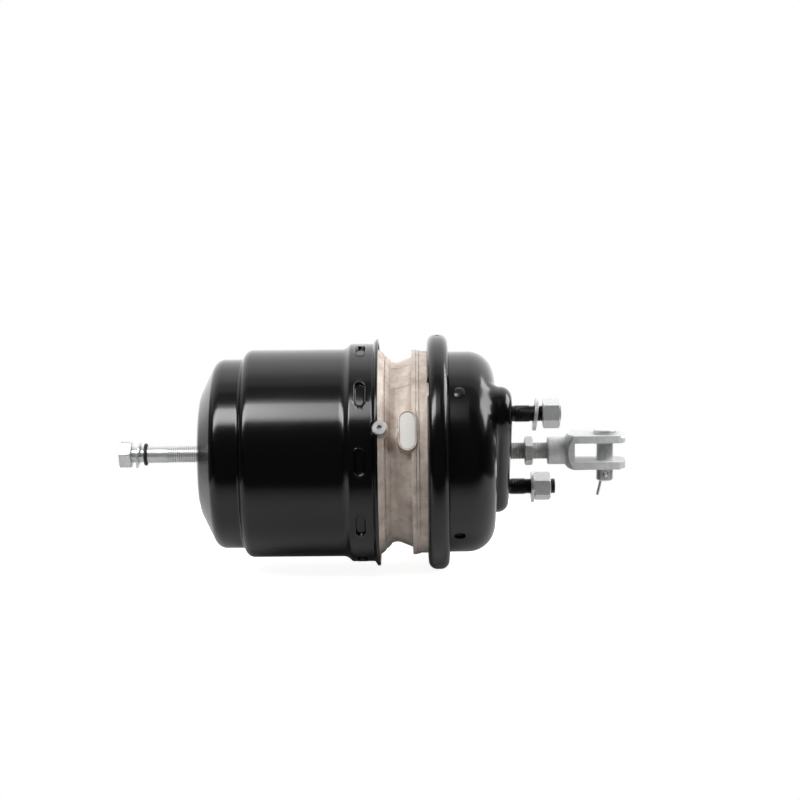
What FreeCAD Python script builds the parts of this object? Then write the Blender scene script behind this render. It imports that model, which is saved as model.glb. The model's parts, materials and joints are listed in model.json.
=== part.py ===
import FreeCAD
import Part

import math
import os

import Sketcher
from FreeCAD import Placement, Rotation, Vector

# Spring brake chamber. Millimetres and degrees. X runs along the push rod, with X = 0 on the face of the
# mounting pad and the rod pointing to +X; Z is up. Angles round the axis are counted from +Z towards -Y.

sizes = {
    # mounting pad and studs
    "padHeight": 15.0,
    "padWidth": 50.0,
    "padEdgeRound": 10.5,
    "padFootRound": 4.0,
    "padRootInset": 4.0,
    "rodOpeningRadius": 13.5,
    "studSpacing": 120.65,
    "studTurn": 45.0,
    "studRadius": 8.0,
    "studThreadRadius": 7.4,
    "studShankLength": 16.0,
    "studLength": 45.0,
    "studHeadRadius": 12.0,
    "studHeadHeight": 6.0,
    "studHeadChamfer": 1.0,
    "studNeckRadius": 8.5,
    "studChamfer": 1.5,
    "nutFlats": 24.0,
    "nutHeight": 16.0,
    "nearNutTurn": -10.5,
    "farNutTurn": 20.0,
    "nearNutStart": 28.0,
    "farNutStart": 24.7,
    "washerRadius": 15.0,
    "washerBore": 8.9,
    "washerThickness": 3.0,
    "nearWasherStart": 20.2,
    "nearWasherTilt": 6.0,
    # service housing, drawn from sheet
    "housingWall": 3.5,
    "housingRadius": 94.3,
    "housingDepth": 52.8,
    "shoulderRound": 25.5,
    "ventCount": 4.0,
    "ventTurn": 45.0,
    "ventRadius": 5.0,
    "ventFromEnd": 33.7,
    "ventCapRadius": 5.5,
    "ventCapRim": 0.4,
    "ventCapHeight": 1.3,
    "ventCapFlat": 3.0,
    "ventShankTaper": 0.5,
    "ventShankLength": 6.0,
    # clamp
    "lipHeight": 7.2,
    "lipFootRise": 0.7,
    "lipFootWidth": 5.6,
    "lipEdgeWidth": 4.7,
    "beadWidth": 3.2,
    "bandThickness": 3.0,
    "bandOverLips": 5.2,
    "bandLegGap": 2.3,
    "bandBendRadius": 8.0,
    "bandSplitAngle": 7.0,
    "bandReliefAngle": 11.5,
    "bandTurn": 45.3,
    "bandHoleRadius": 2.2,
    "bandHoleTurn": 45.3,
    "lugReach": 21.0,
    "lugThickness": 5.0,
    "lugInset": 1.6,
    "lugCornerRound": 5.0,
    "clampBoltRadius": 5.0,
    "clampBoltFlats": 16.0,
    "clampBoltHead": 7.0,
    "clampBoltTail": 4.0,
    "clampNutHeight": 8.5,
    # cast centre flange
    "waistLength": 54.8,
    "castWall": 6.0,
    "castRound": 3.0,
    "castEdgeRound": 0.7,
    "flangeCollarRise": 0.8,
    "collarWidth": 6.3,
    "collarFromClamp": 17.2,
    "waistDepth": 11.4,
    "waistFromClamp": 39.7,
    "waistBottomWidth": 6.0,
    "waistRound": 8.0,
    "collarStep": 5.9,
    "mouthDrop": 2.5,
    "mouthInset": 1.0,
    "lockGrooveClear": 0.8,
    "spigotWall": 6.7,
    "frontBoreWall": 6.5,
    "frontBoreDepth": 20.0,
    "hollowCorner": 4.0,
    "webThickness": 8.0,
    "webFromClamp": 30.7,
    "hubRadius": 27.0,
    "hubFront": 26.2,
    "hubLength": 56.0,
    "hubBoreRadius": 20.0,
    "sealGrooveDepth": 3.0,
    "sealGrooveWidth": 4.2,
    "sealFromCan": 5.0,
    "spigotReach": 9.0,
    "portTurn": 25.0,
    "portBossRadius": 13.5,
    "portBossRise": 10.9,
    "portRadius": 7.19,
    "portDepth": 14.0,
    "portFromClamp": 37.2,
    "passageRadius": 2.5,
    "passageRise": 0.1,
    "passageLength": 16.0,
    "labelTurn": 68.0,
    "labelFromClamp": 27.9,
    "labelWidth": 13.4,
    "labelLength": 33.0,
    "labelThickness": 0.6,
    "labelPadMargin": 1.8,
    "labelPadRise": 11.6,
    "lockScrewTurn": 67.5,
    "lockScrewFromRim": 1.8,
    "lockScrewHeadRadius": 6.0,
    "lockScrewHeadHeight": 5.0,
    "lockScrewRadius": 3.0,
    "lockScrewDepth": 10.0,
    "lockSocketFlats": 4.3,
    "lockSocketDepth": 3.0,
    "lockBossRadius": 7.6,
    "lockBossRise": 4.4,
    # spring housing, drawn steel can
    "canWall": 3.0,
    "rimFlare": 4.2,
    "rimWidth": 4.4,
    "flareLength": 4.0,
    "skirtRise": 4.9,
    "skirtLength": 17.6,
    "skirtStep": 5.4,
    "skirtBendRadius": 2.5,
    "canFrontRadius": 97.5,
    "canFrontLength": 86.4,
    "canRearStep": 8.6,
    "canRearLength": 24.4,
    "stepFootRound": 3.0,
    "kneeRound": 6.0,
    "coneDepth": 18.5,
    "coneHeight": 32.9,
    "crownEdgeRound": 25.0,
    "crownRadius": 900.0,
    "lockCount": 10.0,
    "lockTurn": 12.3,
    "lockWidth": 8.7,
    "lockLength": 24.0,
    "lockFromRim": 16.4,
    "lockPress": 2.4,
    # parking piston and its tube
    "pistonFromStep": 42.0,
    "pistonDepth": 25.0,
    "pistonPlate": 4.0,
    "pistonLand": 5.0,
    "pistonCorner": 3.0,
    "pistonGap": 0.5,
    "pistonSkirtWall": 10.0,
    "pistonSealWidth": 5.0,
    "pistonSealDepth": 4.0,
    "guideRingWidth": 5.0,
    "guideRingDepth": 2.5,
    "ringSideGap": 0.1,
    "tubeRadius": 16.5,
    "tubeBore": 12.5,
    "plugReach": 12.0,
    "plugHead": 4.0,
    "plugInset": 0.5,
    "plugChamfer": 1.0,
    "tubeSealWidth": 5.0,
    "tubeSealGap": 1.0,
    "powerWireRadius": 6.5,
    "powerCoilInset": 18.9,
    "powerTurns": 4.0,
    "runsPerTurn": 12.0,
    # release bolt
    "releaseRadius": 8.0,
    "releaseOut": 62.8,
    "releaseFlats": 24.0,
    "releaseHead": 11.6,
    "releaseHeadTurn": 19.5,
    "releaseBushLength": 22.0,
    "releaseBushRadius": 16.0,
    "collarRadius": 12.0,
    "collarLength": 8.0,
    "looseWasherRadius": 12.0,
    "looseWasherThickness": 1.8,
    "looseWasherFromHead": 5.4,
    "looseWasherTilt": 7.0,
    "looseWasherPlay": 1.0,
    "looseWasherDrop": 0.6,
    "releaseRingRadius": 10.5,
    "releaseRingWidth": 3.0,
    "releaseRingRound": 1.2,
    "releaseRingFromHead": 13.1,
    # service side
    "diaphragmThickness": 3.2,
    "diaphragmFromClamp": 20.9,
    "diaphragmFold": 17.5,
    "diaphragmNeckGap": 2.5,
    "pushPlateInset": 5.0,
    "pushPlateThickness": 4.0,
    "pushPlateRim": 2.0,
    "pushPlateDish": 3.0,
    "rodRadius": 8.0,
    "rodFootRadius": 14.0,
    "rodFootHeight": 3.0,
    "rodFootTaper": 5.0,
    "rodChamfer": 1.2,
    "rodEnd": 58.0,
    "returnWireRadius": 2.25,
    "returnFrontRadius": 48.0,
    "returnRearRadius": 33.0,
    "returnTurns": 5.0,
    "dustGuardRadius": 16.0,
    "dustGuardThickness": 2.5,
    "jamNutStart": 13.6,
    "jamNutHeight": 7.9,
    "jamNutTurn": 1.5,
    # clevis and pins
    "clevisStart": 35.0,
    "clevisBossRadius": 13.0,
    "clevisBossLength": 16.5,
    "clevisBossChamfer": 1.0,
    "clevisSquare": 32.0,
    "clevisShoulder": 8.5,
    "clevisSlot": 18.0,
    "clevisLength": 73.0,
    "clevisEndRound": 9.0,
    "clevisEndTurn": 5.0,
    "clevisEndDrop": 2.0,
    "pinFromStart": 54.2,
    "pinRadius": 8.0,
    "pinHeadRadius": 10.9,
    "pinHeadHeight": 4.0,
    "pinHeadChamfer": 0.7,
    "pinLength": 45.0,
    "pinTipChamfer": 1.5,
    "cotterHoleRadius": 2.4,
    "cotterFromEnd": 8.0,
    "cotterWireRadius": 1.05,
    "cotterEyeRadius": 1.9,
    "cotterBendRadius": 3.15,
    "cotterLegOverlap": 0.02,
    "cotterLegLength": 22.0,
    "cotterLegSlant": 13.0,
    # clearances
    "runningGap": 0.05,
    "seatGap": 0.3,
    "passGap": 0.6,
    # hexagons, and how far a cut runs past the face that it opens
    "hexFaceShare": 0.475,
    "hexChamferAngle": 30.0,
    "overcut": 1.0,
}


class Size:
    """A number together with the sheet expression that gives it."""

    def __init__(self, value, text):
        self.value = value
        self.text = text

    def __add__(self, other):
        other = size_of(other)
        return Size(self.value + other.value, f"({self.text} + {other.text})")

    def __sub__(self, other):
        other = size_of(other)
        return Size(self.value - other.value, f"({self.text} - {other.text})")

    def __mul__(self, other):
        other = size_of(other)
        return Size(self.value * other.value, f"({self.text} * {other.text})")

    def __truediv__(self, other):
        other = size_of(other)
        return Size(self.value / other.value, f"({self.text} / {other.text})")

    def __radd__(self, other):
        return size_of(other) + self

    def __rsub__(self, other):
        return size_of(other) - self

    def __rmul__(self, other):
        return size_of(other) * self

    def __neg__(self):
        return Size(-self.value, f"(-1 * {self.text})")


def size_of(number):
    if isinstance(number, Size):
        return number
    return Size(float(number), f"({float(number)})")


def root(size):
    return Size(math.sqrt(size.value), f"sqrt({size.text})")


def cosine(angle):
    angle = size_of(angle)
    return Size(math.cos(math.radians(angle.value)), f"cos({angle.text})")


def sine(angle):
    angle = size_of(angle)
    return Size(math.sin(math.radians(angle.value)), f"sin({angle.text})")


def leg(slope, side):
    """The other short side of a right triangle with this slope and this side."""
    return root(slope * slope - side * side)


def hex_corner(flats):
    """From the middle of a hexagon to its corner."""
    return flats / root(size_of(3))


doc = FreeCAD.newDocument("brake_chamber")
sheet = doc.addObject("Spreadsheet::Sheet", "Sizes")


class Named:
    """Each driving size by its name."""


s = Named()
for row, (name, value) in enumerate(sizes.items(), start=1):
    sheet.set(f"A{row}", name)
    sheet.set(f"B{row}", str(value))
    sheet.setAlias(f"B{row}", name)
    setattr(s, name, Size(value, f"Sizes.{name}"))
doc.recompute()

nodes = {}
body_volume = {}


def bind(thing, *links):
    """Bind properties to sizes; links are pairs of a property path and a size."""
    for path, size in links:
        thing.setExpression(path, size_of(size).text)


def keep(name, thing):
    thing.Label = name
    nodes[name] = thing
    return thing


def spare_body(title):
    """A body that is one of a group, or has no file of its own."""
    return doc.addObject("PartDesign::Body", title)


def new_body(name):
    return keep(name, spare_body(name))


def origin_feature(body, role):
    for feature in body.Origin.OriginFeatures:
        if feature.Role == role:
            return feature


def sketch_on(body, title, plane, *offset):
    sketch = body.newObject("Sketcher::SketchObject", f"{body.Name}_{title}")
    sketch.AttachmentSupport = [(origin_feature(body, plane), "")]
    sketch.MapMode = "FlatFace"
    bind(sketch, *[(f"AttachmentOffset.{path}", size) for path, size in offset])
    return sketch


def facing_sketch(body, title, turn, reach):
    """A sketch square to a radius: its x runs along X and its y round the axis."""
    sketch = sketch_on(body, title, "XY_Plane")
    place_facing(sketch, "AttachmentOffset", 0, turn, reach)
    return sketch


def place_facing(thing, path, along, turn, reach):
    setattr(thing, path, Placement(Vector(0, 0, 0), Rotation(Vector(1, 0, 0), 1)))
    bind(
        thing,
        (f"{path}.Base.x", along),
        (f"{path}.Base.y", -(reach * sine(turn))),
        (f"{path}.Base.z", reach * cosine(turn)),
        (f"{path}.Rotation.Angle", turn),
    )


def fix(sketch, kind, geometry, point, size):
    """Hold one coordinate of a point, with DistanceX or DistanceY from the sketch's origin."""
    if size.value == 0:
        axis = -1 if kind == "DistanceY" else -2
        sketch.addConstraint(Sketcher.Constraint("PointOnObject", geometry, point, axis))
        return
    number = sketch.addConstraint(Sketcher.Constraint(kind, -1, 1, geometry, point, size.value))
    if "Sizes." in size.text:
        sketch.setExpression(f"Constraints[{number}]", size.text)


def fix_radius(sketch, geometry, size):
    number = sketch.addConstraint(Sketcher.Constraint("Radius", geometry, size.value))
    if "Sizes." in size.text:
        sketch.setExpression(f"Constraints[{number}]", size.text)


def side(corner, following):
    """The line or arc from one corner to the next, and which of its ends are start and finish."""
    start = Vector(corner[0].value, corner[1].value, 0)
    finish = Vector(following[0].value, following[1].value, 0)
    if len(corner) == 2:
        return Part.LineSegment(start, finish), (1, 2)
    radius = abs(corner[2].value)
    half = (finish - start) * 0.5
    reach = math.sqrt(max(radius**2 - half.Length**2, 0))
    turn_left = corner[2].value > 0
    aside = Vector(-half.y, half.x, 0).normalize() * (reach if turn_left else -reach)
    centre = start + half + aside
    first = math.atan2(start.y - centre.y, start.x - centre.x)
    last = math.atan2(finish.y - centre.y, finish.x - centre.x)
    circle = Part.Circle(centre, Vector(0, 0, 1), radius)
    if turn_left:
        return Part.ArcOfCircle(circle, first, last), (1, 2)
    return Part.ArcOfCircle(circle, last, first), (2, 1)


def draw_outline(sketch, outline):
    """Draw a closed outline through corners (x, y).

    A corner with a third value leaves along an arc of that radius: plus turns left, minus turns right.
    """
    corners = [tuple(size_of(value) for value in corner) for corner in outline]
    base = sketch.GeometryCount
    ends = []
    for corner, following in zip(corners, corners[1:] + corners[:1]):
        geometry, points = side(corner, following)
        sketch.addGeometry(geometry, False)
        ends.append(points)
    count = len(corners)
    for i in range(count):
        after = (i + 1) % count
        joint = Sketcher.Constraint("Coincident", base + i, ends[i][1], base + after, ends[after][0])
        sketch.addConstraint(joint)
    for i, corner in enumerate(corners):
        fix(sketch, "DistanceX", base + i, ends[i][0], corner[0])
        fix(sketch, "DistanceY", base + i, ends[i][0], corner[1])
        if len(corner) == 3:
            bulge = corner[2] if corner[2].value > 0 else -corner[2]
            fix_radius(sketch, base + i, bulge)


def draw_circle(sketch, x, y, radius):
    x, y, radius = size_of(x), size_of(y), size_of(radius)
    circle = Part.Circle(Vector(x.value, y.value, 0), Vector(0, 0, 1), radius.value)
    number = sketch.addGeometry(circle, False)
    fix(sketch, "DistanceX", number, 3, x)
    fix(sketch, "DistanceY", number, 3, y)
    fix_radius(sketch, number, radius)


def draw_slot(sketch, x, y, half_length, radius, along):
    """A slot with round ends; half_length is from its middle to each end's centre, along x or y."""
    x, y, half_length, radius = size_of(x), size_of(y), size_of(half_length), size_of(radius)
    base = sketch.GeometryCount
    across = along == "y"
    lift = math.pi / 2 if across else 0.0
    aside = size_of(0) if across else half_length
    up = half_length if across else size_of(0)
    centres = [(x + aside, y + up), (x - aside, y - up)]
    for turn, centre in zip((0, math.pi), centres):
        circle = Part.Circle(Vector(centre[0].value, centre[1].value, 0), Vector(0, 0, 1), radius.value)
        first = lift + turn - math.pi / 2
        sketch.addGeometry(Part.ArcOfCircle(circle, first, first + math.pi), False)
    first_end = sketch.getPoint(base, 2)
    second_start = sketch.getPoint(base + 1, 1)
    second_end = sketch.getPoint(base + 1, 2)
    first_start = sketch.getPoint(base, 1)
    sketch.addGeometry(Part.LineSegment(first_end, second_start), False)
    sketch.addGeometry(Part.LineSegment(second_end, first_start), False)
    joints = [(0, 2, 2, 1), (2, 2, 1, 1), (1, 2, 3, 1), (3, 2, 0, 1)]
    for one, end, other, start in joints:
        sketch.addConstraint(Sketcher.Constraint("Tangent", base + one, end, base + other, start))
    sketch.addConstraint(Sketcher.Constraint("Equal", base, base + 1))
    fix_radius(sketch, base, radius)
    for number, centre in enumerate(centres):
        fix(sketch, "DistanceX", base + number, 3, centre[0])
        fix(sketch, "DistanceY", base + number, 3, centre[1])


def settle(body, feature, change):
    """Make the feature the body's tip, and test that it added (+1) or removed (-1) material."""
    before = body_volume.get(body.Name, 0.0)
    body.Tip = feature
    doc.recompute()
    after = feature.Shape.Volume
    if (after - before) * change <= 0:
        raise ValueError(f"{feature.Name} in {body.Name} changed the volume from {before} to {after}")
    body_volume[body.Name] = after
    return feature


def revolve(body, title, sketch, angle=360, cut=False, both=False, axis="H_Axis"):
    kind = "PartDesign::Groove" if cut else "PartDesign::Revolution"
    feature = body.newObject(kind, f"{body.Name}_{title}")
    feature.Profile = sketch
    feature.ReferenceAxis = (sketch, [axis])
    feature.Midplane = both
    bind(feature, ("Angle", angle))
    return settle(body, feature, -1 if cut else 1)


def extrude(body, title, sketch, length, cut=False, reverse=False, both=False):
    kind = "PartDesign::Pocket" if cut else "PartDesign::Pad"
    feature = body.newObject(kind, f"{body.Name}_{title}")
    feature.Profile = sketch
    feature.Type = "Length"
    feature.Reversed = reverse
    if both:
        feature.SideType = "Symmetric"
    bind(feature, ("Length", length))
    return settle(body, feature, -1 if cut else 1)


def repeat_round(body, title, features, count, change):
    pattern = body.newObject("PartDesign::PolarPattern", f"{body.Name}_{title}")
    pattern.Originals = features
    pattern.Axis = (origin_feature(body, "X_Axis"), [""])
    pattern.Angle = 360
    bind(pattern, ("Occurrences", count))
    return settle(body, pattern, change)


def ring_edges(shape, rings):
    """Names of the circular edges round X that lie at these (x, radius) places."""
    names = []
    for number, edge in enumerate(shape.Edges, start=1):
        curve = edge.Curve
        if curve.TypeId != "Part::GeomCircle" or abs(curve.Axis.x) < 0.999:
            continue
        on_axis = abs(curve.Center.y) < 0.01 and abs(curve.Center.z) < 0.01
        for x, radius in rings:
            same_place = abs(curve.Center.x - x.value) < 0.01
            same_radius = abs(curve.Radius - radius.value) < 0.01
            if on_axis and same_place and same_radius:
                names.append(f"Edge{number}")
    return names


def blend_edges(body, title, names, radius, chamfer=False):
    kind = "PartDesign::Chamfer" if chamfer else "PartDesign::Fillet"
    before = body.Tip
    feature = body.newObject(kind, f"{body.Name}_{title}")
    feature.Base = (before, names)
    bind(feature, ("Size" if chamfer else "Radius", radius))
    body.Tip = feature
    doc.recompute()
    if not names or "Invalid" in feature.State or feature.Shape.isNull() or not feature.Shape.isValid():
        raise ValueError(f"{feature.Name} in {body.Name} failed on {names}")
    body_volume[body.Name] = feature.Shape.Volume
    return feature


def plane_loop(shape, x):
    """Names of the edges that lie in the plane at this x."""
    names = []
    for number, edge in enumerate(shape.Edges, start=1):
        box = edge.BoundBox
        if abs(box.XMin - x.value) < 0.01 and abs(box.XMax - x.value) < 0.01:
            names.append(f"Edge{number}")
    return names


def turn_outline(body, outline, axis="H_Axis"):
    """Turn an outline of (x, z) corners round X, or round Z with the V_Axis."""
    sketch = sketch_on(body, "profile", "XZ_Plane")
    draw_outline(sketch, outline)
    revolve(body, "turn", sketch, axis=axis)
    return body


def turned(name, outline):
    return turn_outline(new_body(name), outline)


def ring_section(start, finish, bore, radius):
    return [(start, bore), (finish, bore), (finish, radius), (start, radius)]


def turned_ring(name, *section):
    return turned(name, ring_section(*section))


def spare_ring(title, *section):
    return turn_outline(spare_body(title), ring_section(*section))


def turn_about_x(thing, turn):
    thing.Placement = Placement(Vector(0, 0, 0), Rotation(Vector(1, 0, 0), 1))
    bind(thing, ("Placement.Rotation.Angle", turn))


def hex_prism(title, start, height, flats, corner_turn):
    """A plain hexagonal prism along X with one corner at corner_turn."""
    prism = doc.addObject("Part::Prism", title)
    prism.Polygon = 6
    along_x = Rotation(Vector(0, 1, 0), 90)
    corner_up = Rotation(Vector(0, 0, 1), 180 + corner_turn.value)
    prism.Placement = Placement(Vector(0, 0, 0), along_x * corner_up)
    bind(
        prism,
        ("Circumradius", hex_corner(flats)),
        ("Height", height),
        ("Placement.Base.x", start),
    )
    return prism


def barrel(title, start, height, flats):
    """A round blank with chamfered ends that trims the corners of a hexagon."""
    corner = hex_corner(flats)
    face = flats * s.hexFaceShare
    drop = (corner - face) * sine(s.hexChamferAngle) / cosine(s.hexChamferAngle)
    outside = corner + s.passGap
    sketch = doc.addObject("Sketcher::SketchObject", f"{title}_profile")
    sketch.Placement = Placement(Vector(0, 0, 0), Rotation(Vector(1, 0, 0), 90))
    finish = start + height
    draw_outline(sketch, [
        (start, 0),
        (finish, 0),
        (finish, face),
        (finish - drop, outside),
        (start + drop, outside),
        (start, face),
    ])
    blank = doc.addObject("Part::Revolution", f"{title}_blank")
    blank.Source = sketch
    blank.Axis = Vector(1, 0, 0)
    blank.Angle = 360
    blank.Solid = True
    return blank


def rod(title, start, length, radius):
    """A plain cylinder along X."""
    cylinder = doc.addObject("Part::Cylinder", title)
    cylinder.Placement = Placement(Vector(0, 0, 0), Rotation(Vector(0, 1, 0), 90))
    bind(cylinder, ("Radius", radius), ("Height", length), ("Placement.Base.x", start))
    return cylinder


def combine(kind, title, base, tool):
    result = doc.addObject(kind, title)
    result.Base = base
    result.Tool = tool
    return result


def nut(title, start, height, flats, bore, corner_turn):
    prism = hex_prism(f"{title}_prism", start, height, flats, corner_turn)
    trimmed = combine("Part::Common", f"{title}_trimmed", prism, barrel(title, start, height, flats))
    hole = rod(f"{title}_hole", start - s.overcut, height + s.overcut * 2, bore)
    return combine("Part::Cut", title, trimmed, hole)


def shift(thing, turn, reach):
    """Move a piece that was made on the axis out to a radius."""
    bind(
        thing,
        ("Placement.Base.y", -(reach * sine(turn))),
        ("Placement.Base.z", reach * cosine(turn)),
    )
    return thing


def group(name, pieces):
    compound = doc.addObject("Part::Compound", name)
    compound.Links = pieces
    return keep(name, compound)


def coil(name, wire, start, finish, first_radius, last_radius, turns):
    """A round-wire spring along X, drawn as short straight runs so that its faces stay few."""
    steps = int(round(turns.value * s.runsPerTurn.value))
    points = []
    for step in range(steps + 1):
        part = step / steps
        angle = 2 * math.pi * turns.value * part
        radius = first_radius.value + (last_radius.value - first_radius.value) * part
        x = start.value + (finish.value - start.value) * part
        points.append(Vector(x, radius * math.cos(angle), radius * math.sin(angle)))
    path = Part.makePolygon(points)
    section = Part.Wire([Part.makeCircle(wire.value, points[0], points[1] - points[0])])
    spring = doc.addObject("Part::Feature", name)
    spring.Shape = path.makePipeShell([section], True, False, 1)
    return keep(name, spring)


# Radii of the two steel shells, each from the one that it follows
lipFootRadius = s.housingRadius + s.lipFootRise
lipRadius = lipFootRadius + s.lipHeight
skirtRadius = s.canFrontRadius + s.skirtRise
rimRadius = skirtRadius + s.rimFlare
canRearRadius = s.canFrontRadius - s.canRearStep

# Places along X, each from the one before
padBack = -s.padHeight
housingInner = padBack - s.housingWall
shoulderStart = padBack - s.shoulderRound
clampX = padBack - s.housingDepth
lipFront = clampX + s.beadWidth / 2
lipRear = clampX - s.beadWidth / 2
rimX = clampX - s.waistLength
flareX = rimX - s.rimWidth
skirtX = flareX - s.flareLength
skirtRear = skirtX - s.skirtLength
canFrontX = skirtRear - s.skirtStep
shoulderX = canFrontX - s.canFrontLength
stepX = shoulderX - (s.canFrontRadius - canRearRadius)
kneeX = stepX - s.canRearLength
crownEdgeX = kneeX - s.coneDepth
crownEdge = canRearRadius - s.coneHeight
crownCentreX = crownEdgeX + leg(s.crownRadius, crownEdge)
apexX = crownCentreX - s.crownRadius
crownInner = s.crownRadius - s.canWall
coneSlant = root(s.coneDepth * s.coneDepth + s.coneHeight * s.coneHeight)
kneeInnerX = kneeX + s.canWall * s.coneHeight / (coneSlant + s.coneDepth)
crownInnerEdge = crownEdge - s.canWall * s.coneDepth / (coneSlant + s.coneHeight)
crownInnerEdgeX = crownCentreX - leg(crownInner, crownInnerEdge)
frontBore = s.canFrontRadius - s.canWall
skirtBore = skirtRadius - s.canWall
releaseHole = s.releaseRadius + s.passGap

# Spring housing: a can with a shallow crown and a cone behind, stepped to a wider front, with a skirt
# over the flange and a flared rim
can = turned("spring_housing", [
    (crownCentreX - leg(s.crownRadius, releaseHole), releaseHole),
    (crownCentreX - leg(crownInner, releaseHole), releaseHole, -crownInner),
    (crownInnerEdgeX, crownInnerEdge),
    (kneeInnerX, canRearRadius - s.canWall),
    (stepX + s.canWall, canRearRadius - s.canWall),
    (stepX + s.canWall, canRearRadius, -(s.canFrontRadius - canRearRadius - s.canWall)),
    (shoulderX, frontBore),
    (canFrontX, frontBore),
    (skirtRear, skirtBore),
    (skirtX, skirtBore),
    (flareX, rimRadius - s.canWall),
    (rimX, rimRadius - s.canWall),
    (rimX, rimRadius),
    (flareX, rimRadius),
    (skirtX, skirtRadius),
    (skirtRear, skirtRadius),
    (canFrontX, s.canFrontRadius),
    (shoulderX, s.canFrontRadius, s.canFrontRadius - canRearRadius),
    (stepX, canRearRadius),
    (kneeX, canRearRadius),
    (crownEdgeX, crownEdge, s.crownRadius),
])
blend_edges(can, "knee", ring_edges(can.Shape, [(kneeX, canRearRadius)]), s.kneeRound)
blend_edges(can, "crown_edge", ring_edges(can.Shape, [(crownEdgeX, crownEdge)]), s.crownEdgeRound)
blend_edges(can, "step_foot", ring_edges(can.Shape, [(stepX, canRearRadius)]), s.stepFootRound)
blend_edges(can, "inner_knee", ring_edges(can.Shape, [
    (kneeInnerX, canRearRadius - s.canWall),
]), s.kneeRound - s.canWall)
blend_edges(can, "inner_crown_edge", ring_edges(can.Shape, [
    (crownInnerEdgeX, crownInnerEdge),
]), s.crownEdgeRound - s.canWall)
blend_edges(can, "skirt_bends", ring_edges(can.Shape, [
    (canFrontX, s.canFrontRadius),
    (skirtRear, skirtRadius),
    (skirtX, skirtRadius),
    (flareX, rimRadius),
]), s.skirtBendRadius)

# Ten pockets half-pierced through the skirt into the flange's lock groove
lockX = rimX - s.lockFromRim
lockRound = s.lockWidth / 2
lockHalf = s.lockLength / 2 - lockRound
inside = facing_sketch(can, "lock_tab", s.lockTurn, skirtBore - s.lockPress)
draw_slot(inside, lockX, 0, lockHalf, lockRound, "y")
tab = extrude(can, "lock_tab", inside, s.canWall)
outside = facing_sketch(can, "lock_pocket", s.lockTurn, skirtRadius + s.overcut)
draw_slot(outside, lockX, 0, lockHalf, lockRound, "y")
dent = extrude(can, "lock_pocket", outside, s.lockPress + s.overcut, cut=True)
repeat_round(can, "locks", [tab, dent], s.lockCount, -1)

# Notch in the rim for the head of the lock screw
screwX = rimX + s.lockScrewFromRim
notch = facing_sketch(can, "screw_notch", s.lockScrewTurn, rimRadius + s.overcut)
draw_circle(notch, screwX, 0, s.lockScrewHeadRadius + s.passGap * 2)
extrude(can, "screw_notch", notch, rimRadius - skirtBore + s.overcut * 2, cut=True)

# Cast centre flange: two chambers' floors in one piece, with the lock groove, seal groove and hub
grooveHalf = lockRound + s.passGap
spigotRadius = frontBore - s.seatGap
spigotBore = spigotRadius - s.spigotWall
collarRadius = skirtBore - s.seatGap
mouthRadius = collarRadius - s.mouthDrop
flangeBore = lipFootRadius - s.frontBoreWall
flangeCollarRadius = lipFootRadius + s.flangeCollarRise
waistRiseRadius = flangeCollarRadius - s.collarStep
waistRadius = flangeCollarRadius - s.waistDepth
spigotEnd = canFrontX - s.spigotReach
sealX = canFrontX - s.sealFromCan
sealHalf = s.sealGrooveWidth / 2
waistX = clampX - s.waistFromClamp
collarX = clampX - s.collarFromClamp
webFront = clampX - s.webFromClamp
webRear = webFront - s.webThickness
hubFront = clampX - s.hubFront
hubRear = hubFront - s.hubLength
lipSlope = (s.lipFootWidth - s.lipEdgeWidth) / (lipRadius - lipFootRadius)
waistBore = waistRadius - s.castWall
lockGrooveFloor = collarRadius - s.lockPress - s.lockGrooveClear
mouthX = rimX - s.mouthInset
flange = turned("centre_flange", [
    (hubRear, s.hubBoreRadius),
    (lipRear, s.hubBoreRadius),
    (lipRear, lipRadius),
    (lipRear - s.lipEdgeWidth, lipRadius),
    (lipRear - s.lipFootWidth, lipFootRadius),
    (collarX, lipFootRadius),
    (collarX, flangeCollarRadius),
    (collarX - s.collarWidth, flangeCollarRadius),
    (collarX - s.collarWidth, waistRiseRadius),
    (waistX + s.waistBottomWidth / 2, waistRadius),
    (waistX - s.waistBottomWidth / 2, waistRadius),
    (mouthX, mouthRadius),
    (skirtX, collarRadius),
    (lockX + grooveHalf, collarRadius),
    (lockX + grooveHalf, lockGrooveFloor),
    (lockX - grooveHalf, lockGrooveFloor),
    (lockX - grooveHalf, collarRadius),
    (skirtRear + s.seatGap, collarRadius),
    (canFrontX + s.seatGap, spigotRadius),
    (sealX + sealHalf, spigotRadius),
    (sealX + sealHalf, spigotRadius - s.sealGrooveDepth),
    (sealX - sealHalf, spigotRadius - s.sealGrooveDepth),
    (sealX - sealHalf, spigotRadius),
    (spigotEnd, spigotRadius),
    (spigotEnd, spigotBore),
    (hubRear, spigotBore),
])
blend_edges(flange, "waist_corners", ring_edges(flange.Shape, [
    (waistX + s.waistBottomWidth / 2, waistRadius),
    (waistX - s.waistBottomWidth / 2, waistRadius),
]), s.waistRound)
blend_edges(flange, "collar_edges", ring_edges(flange.Shape, [
    (collarX, flangeCollarRadius),
    (collarX - s.collarWidth, flangeCollarRadius),
    (mouthX, mouthRadius),
]), s.castEdgeRound)

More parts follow.
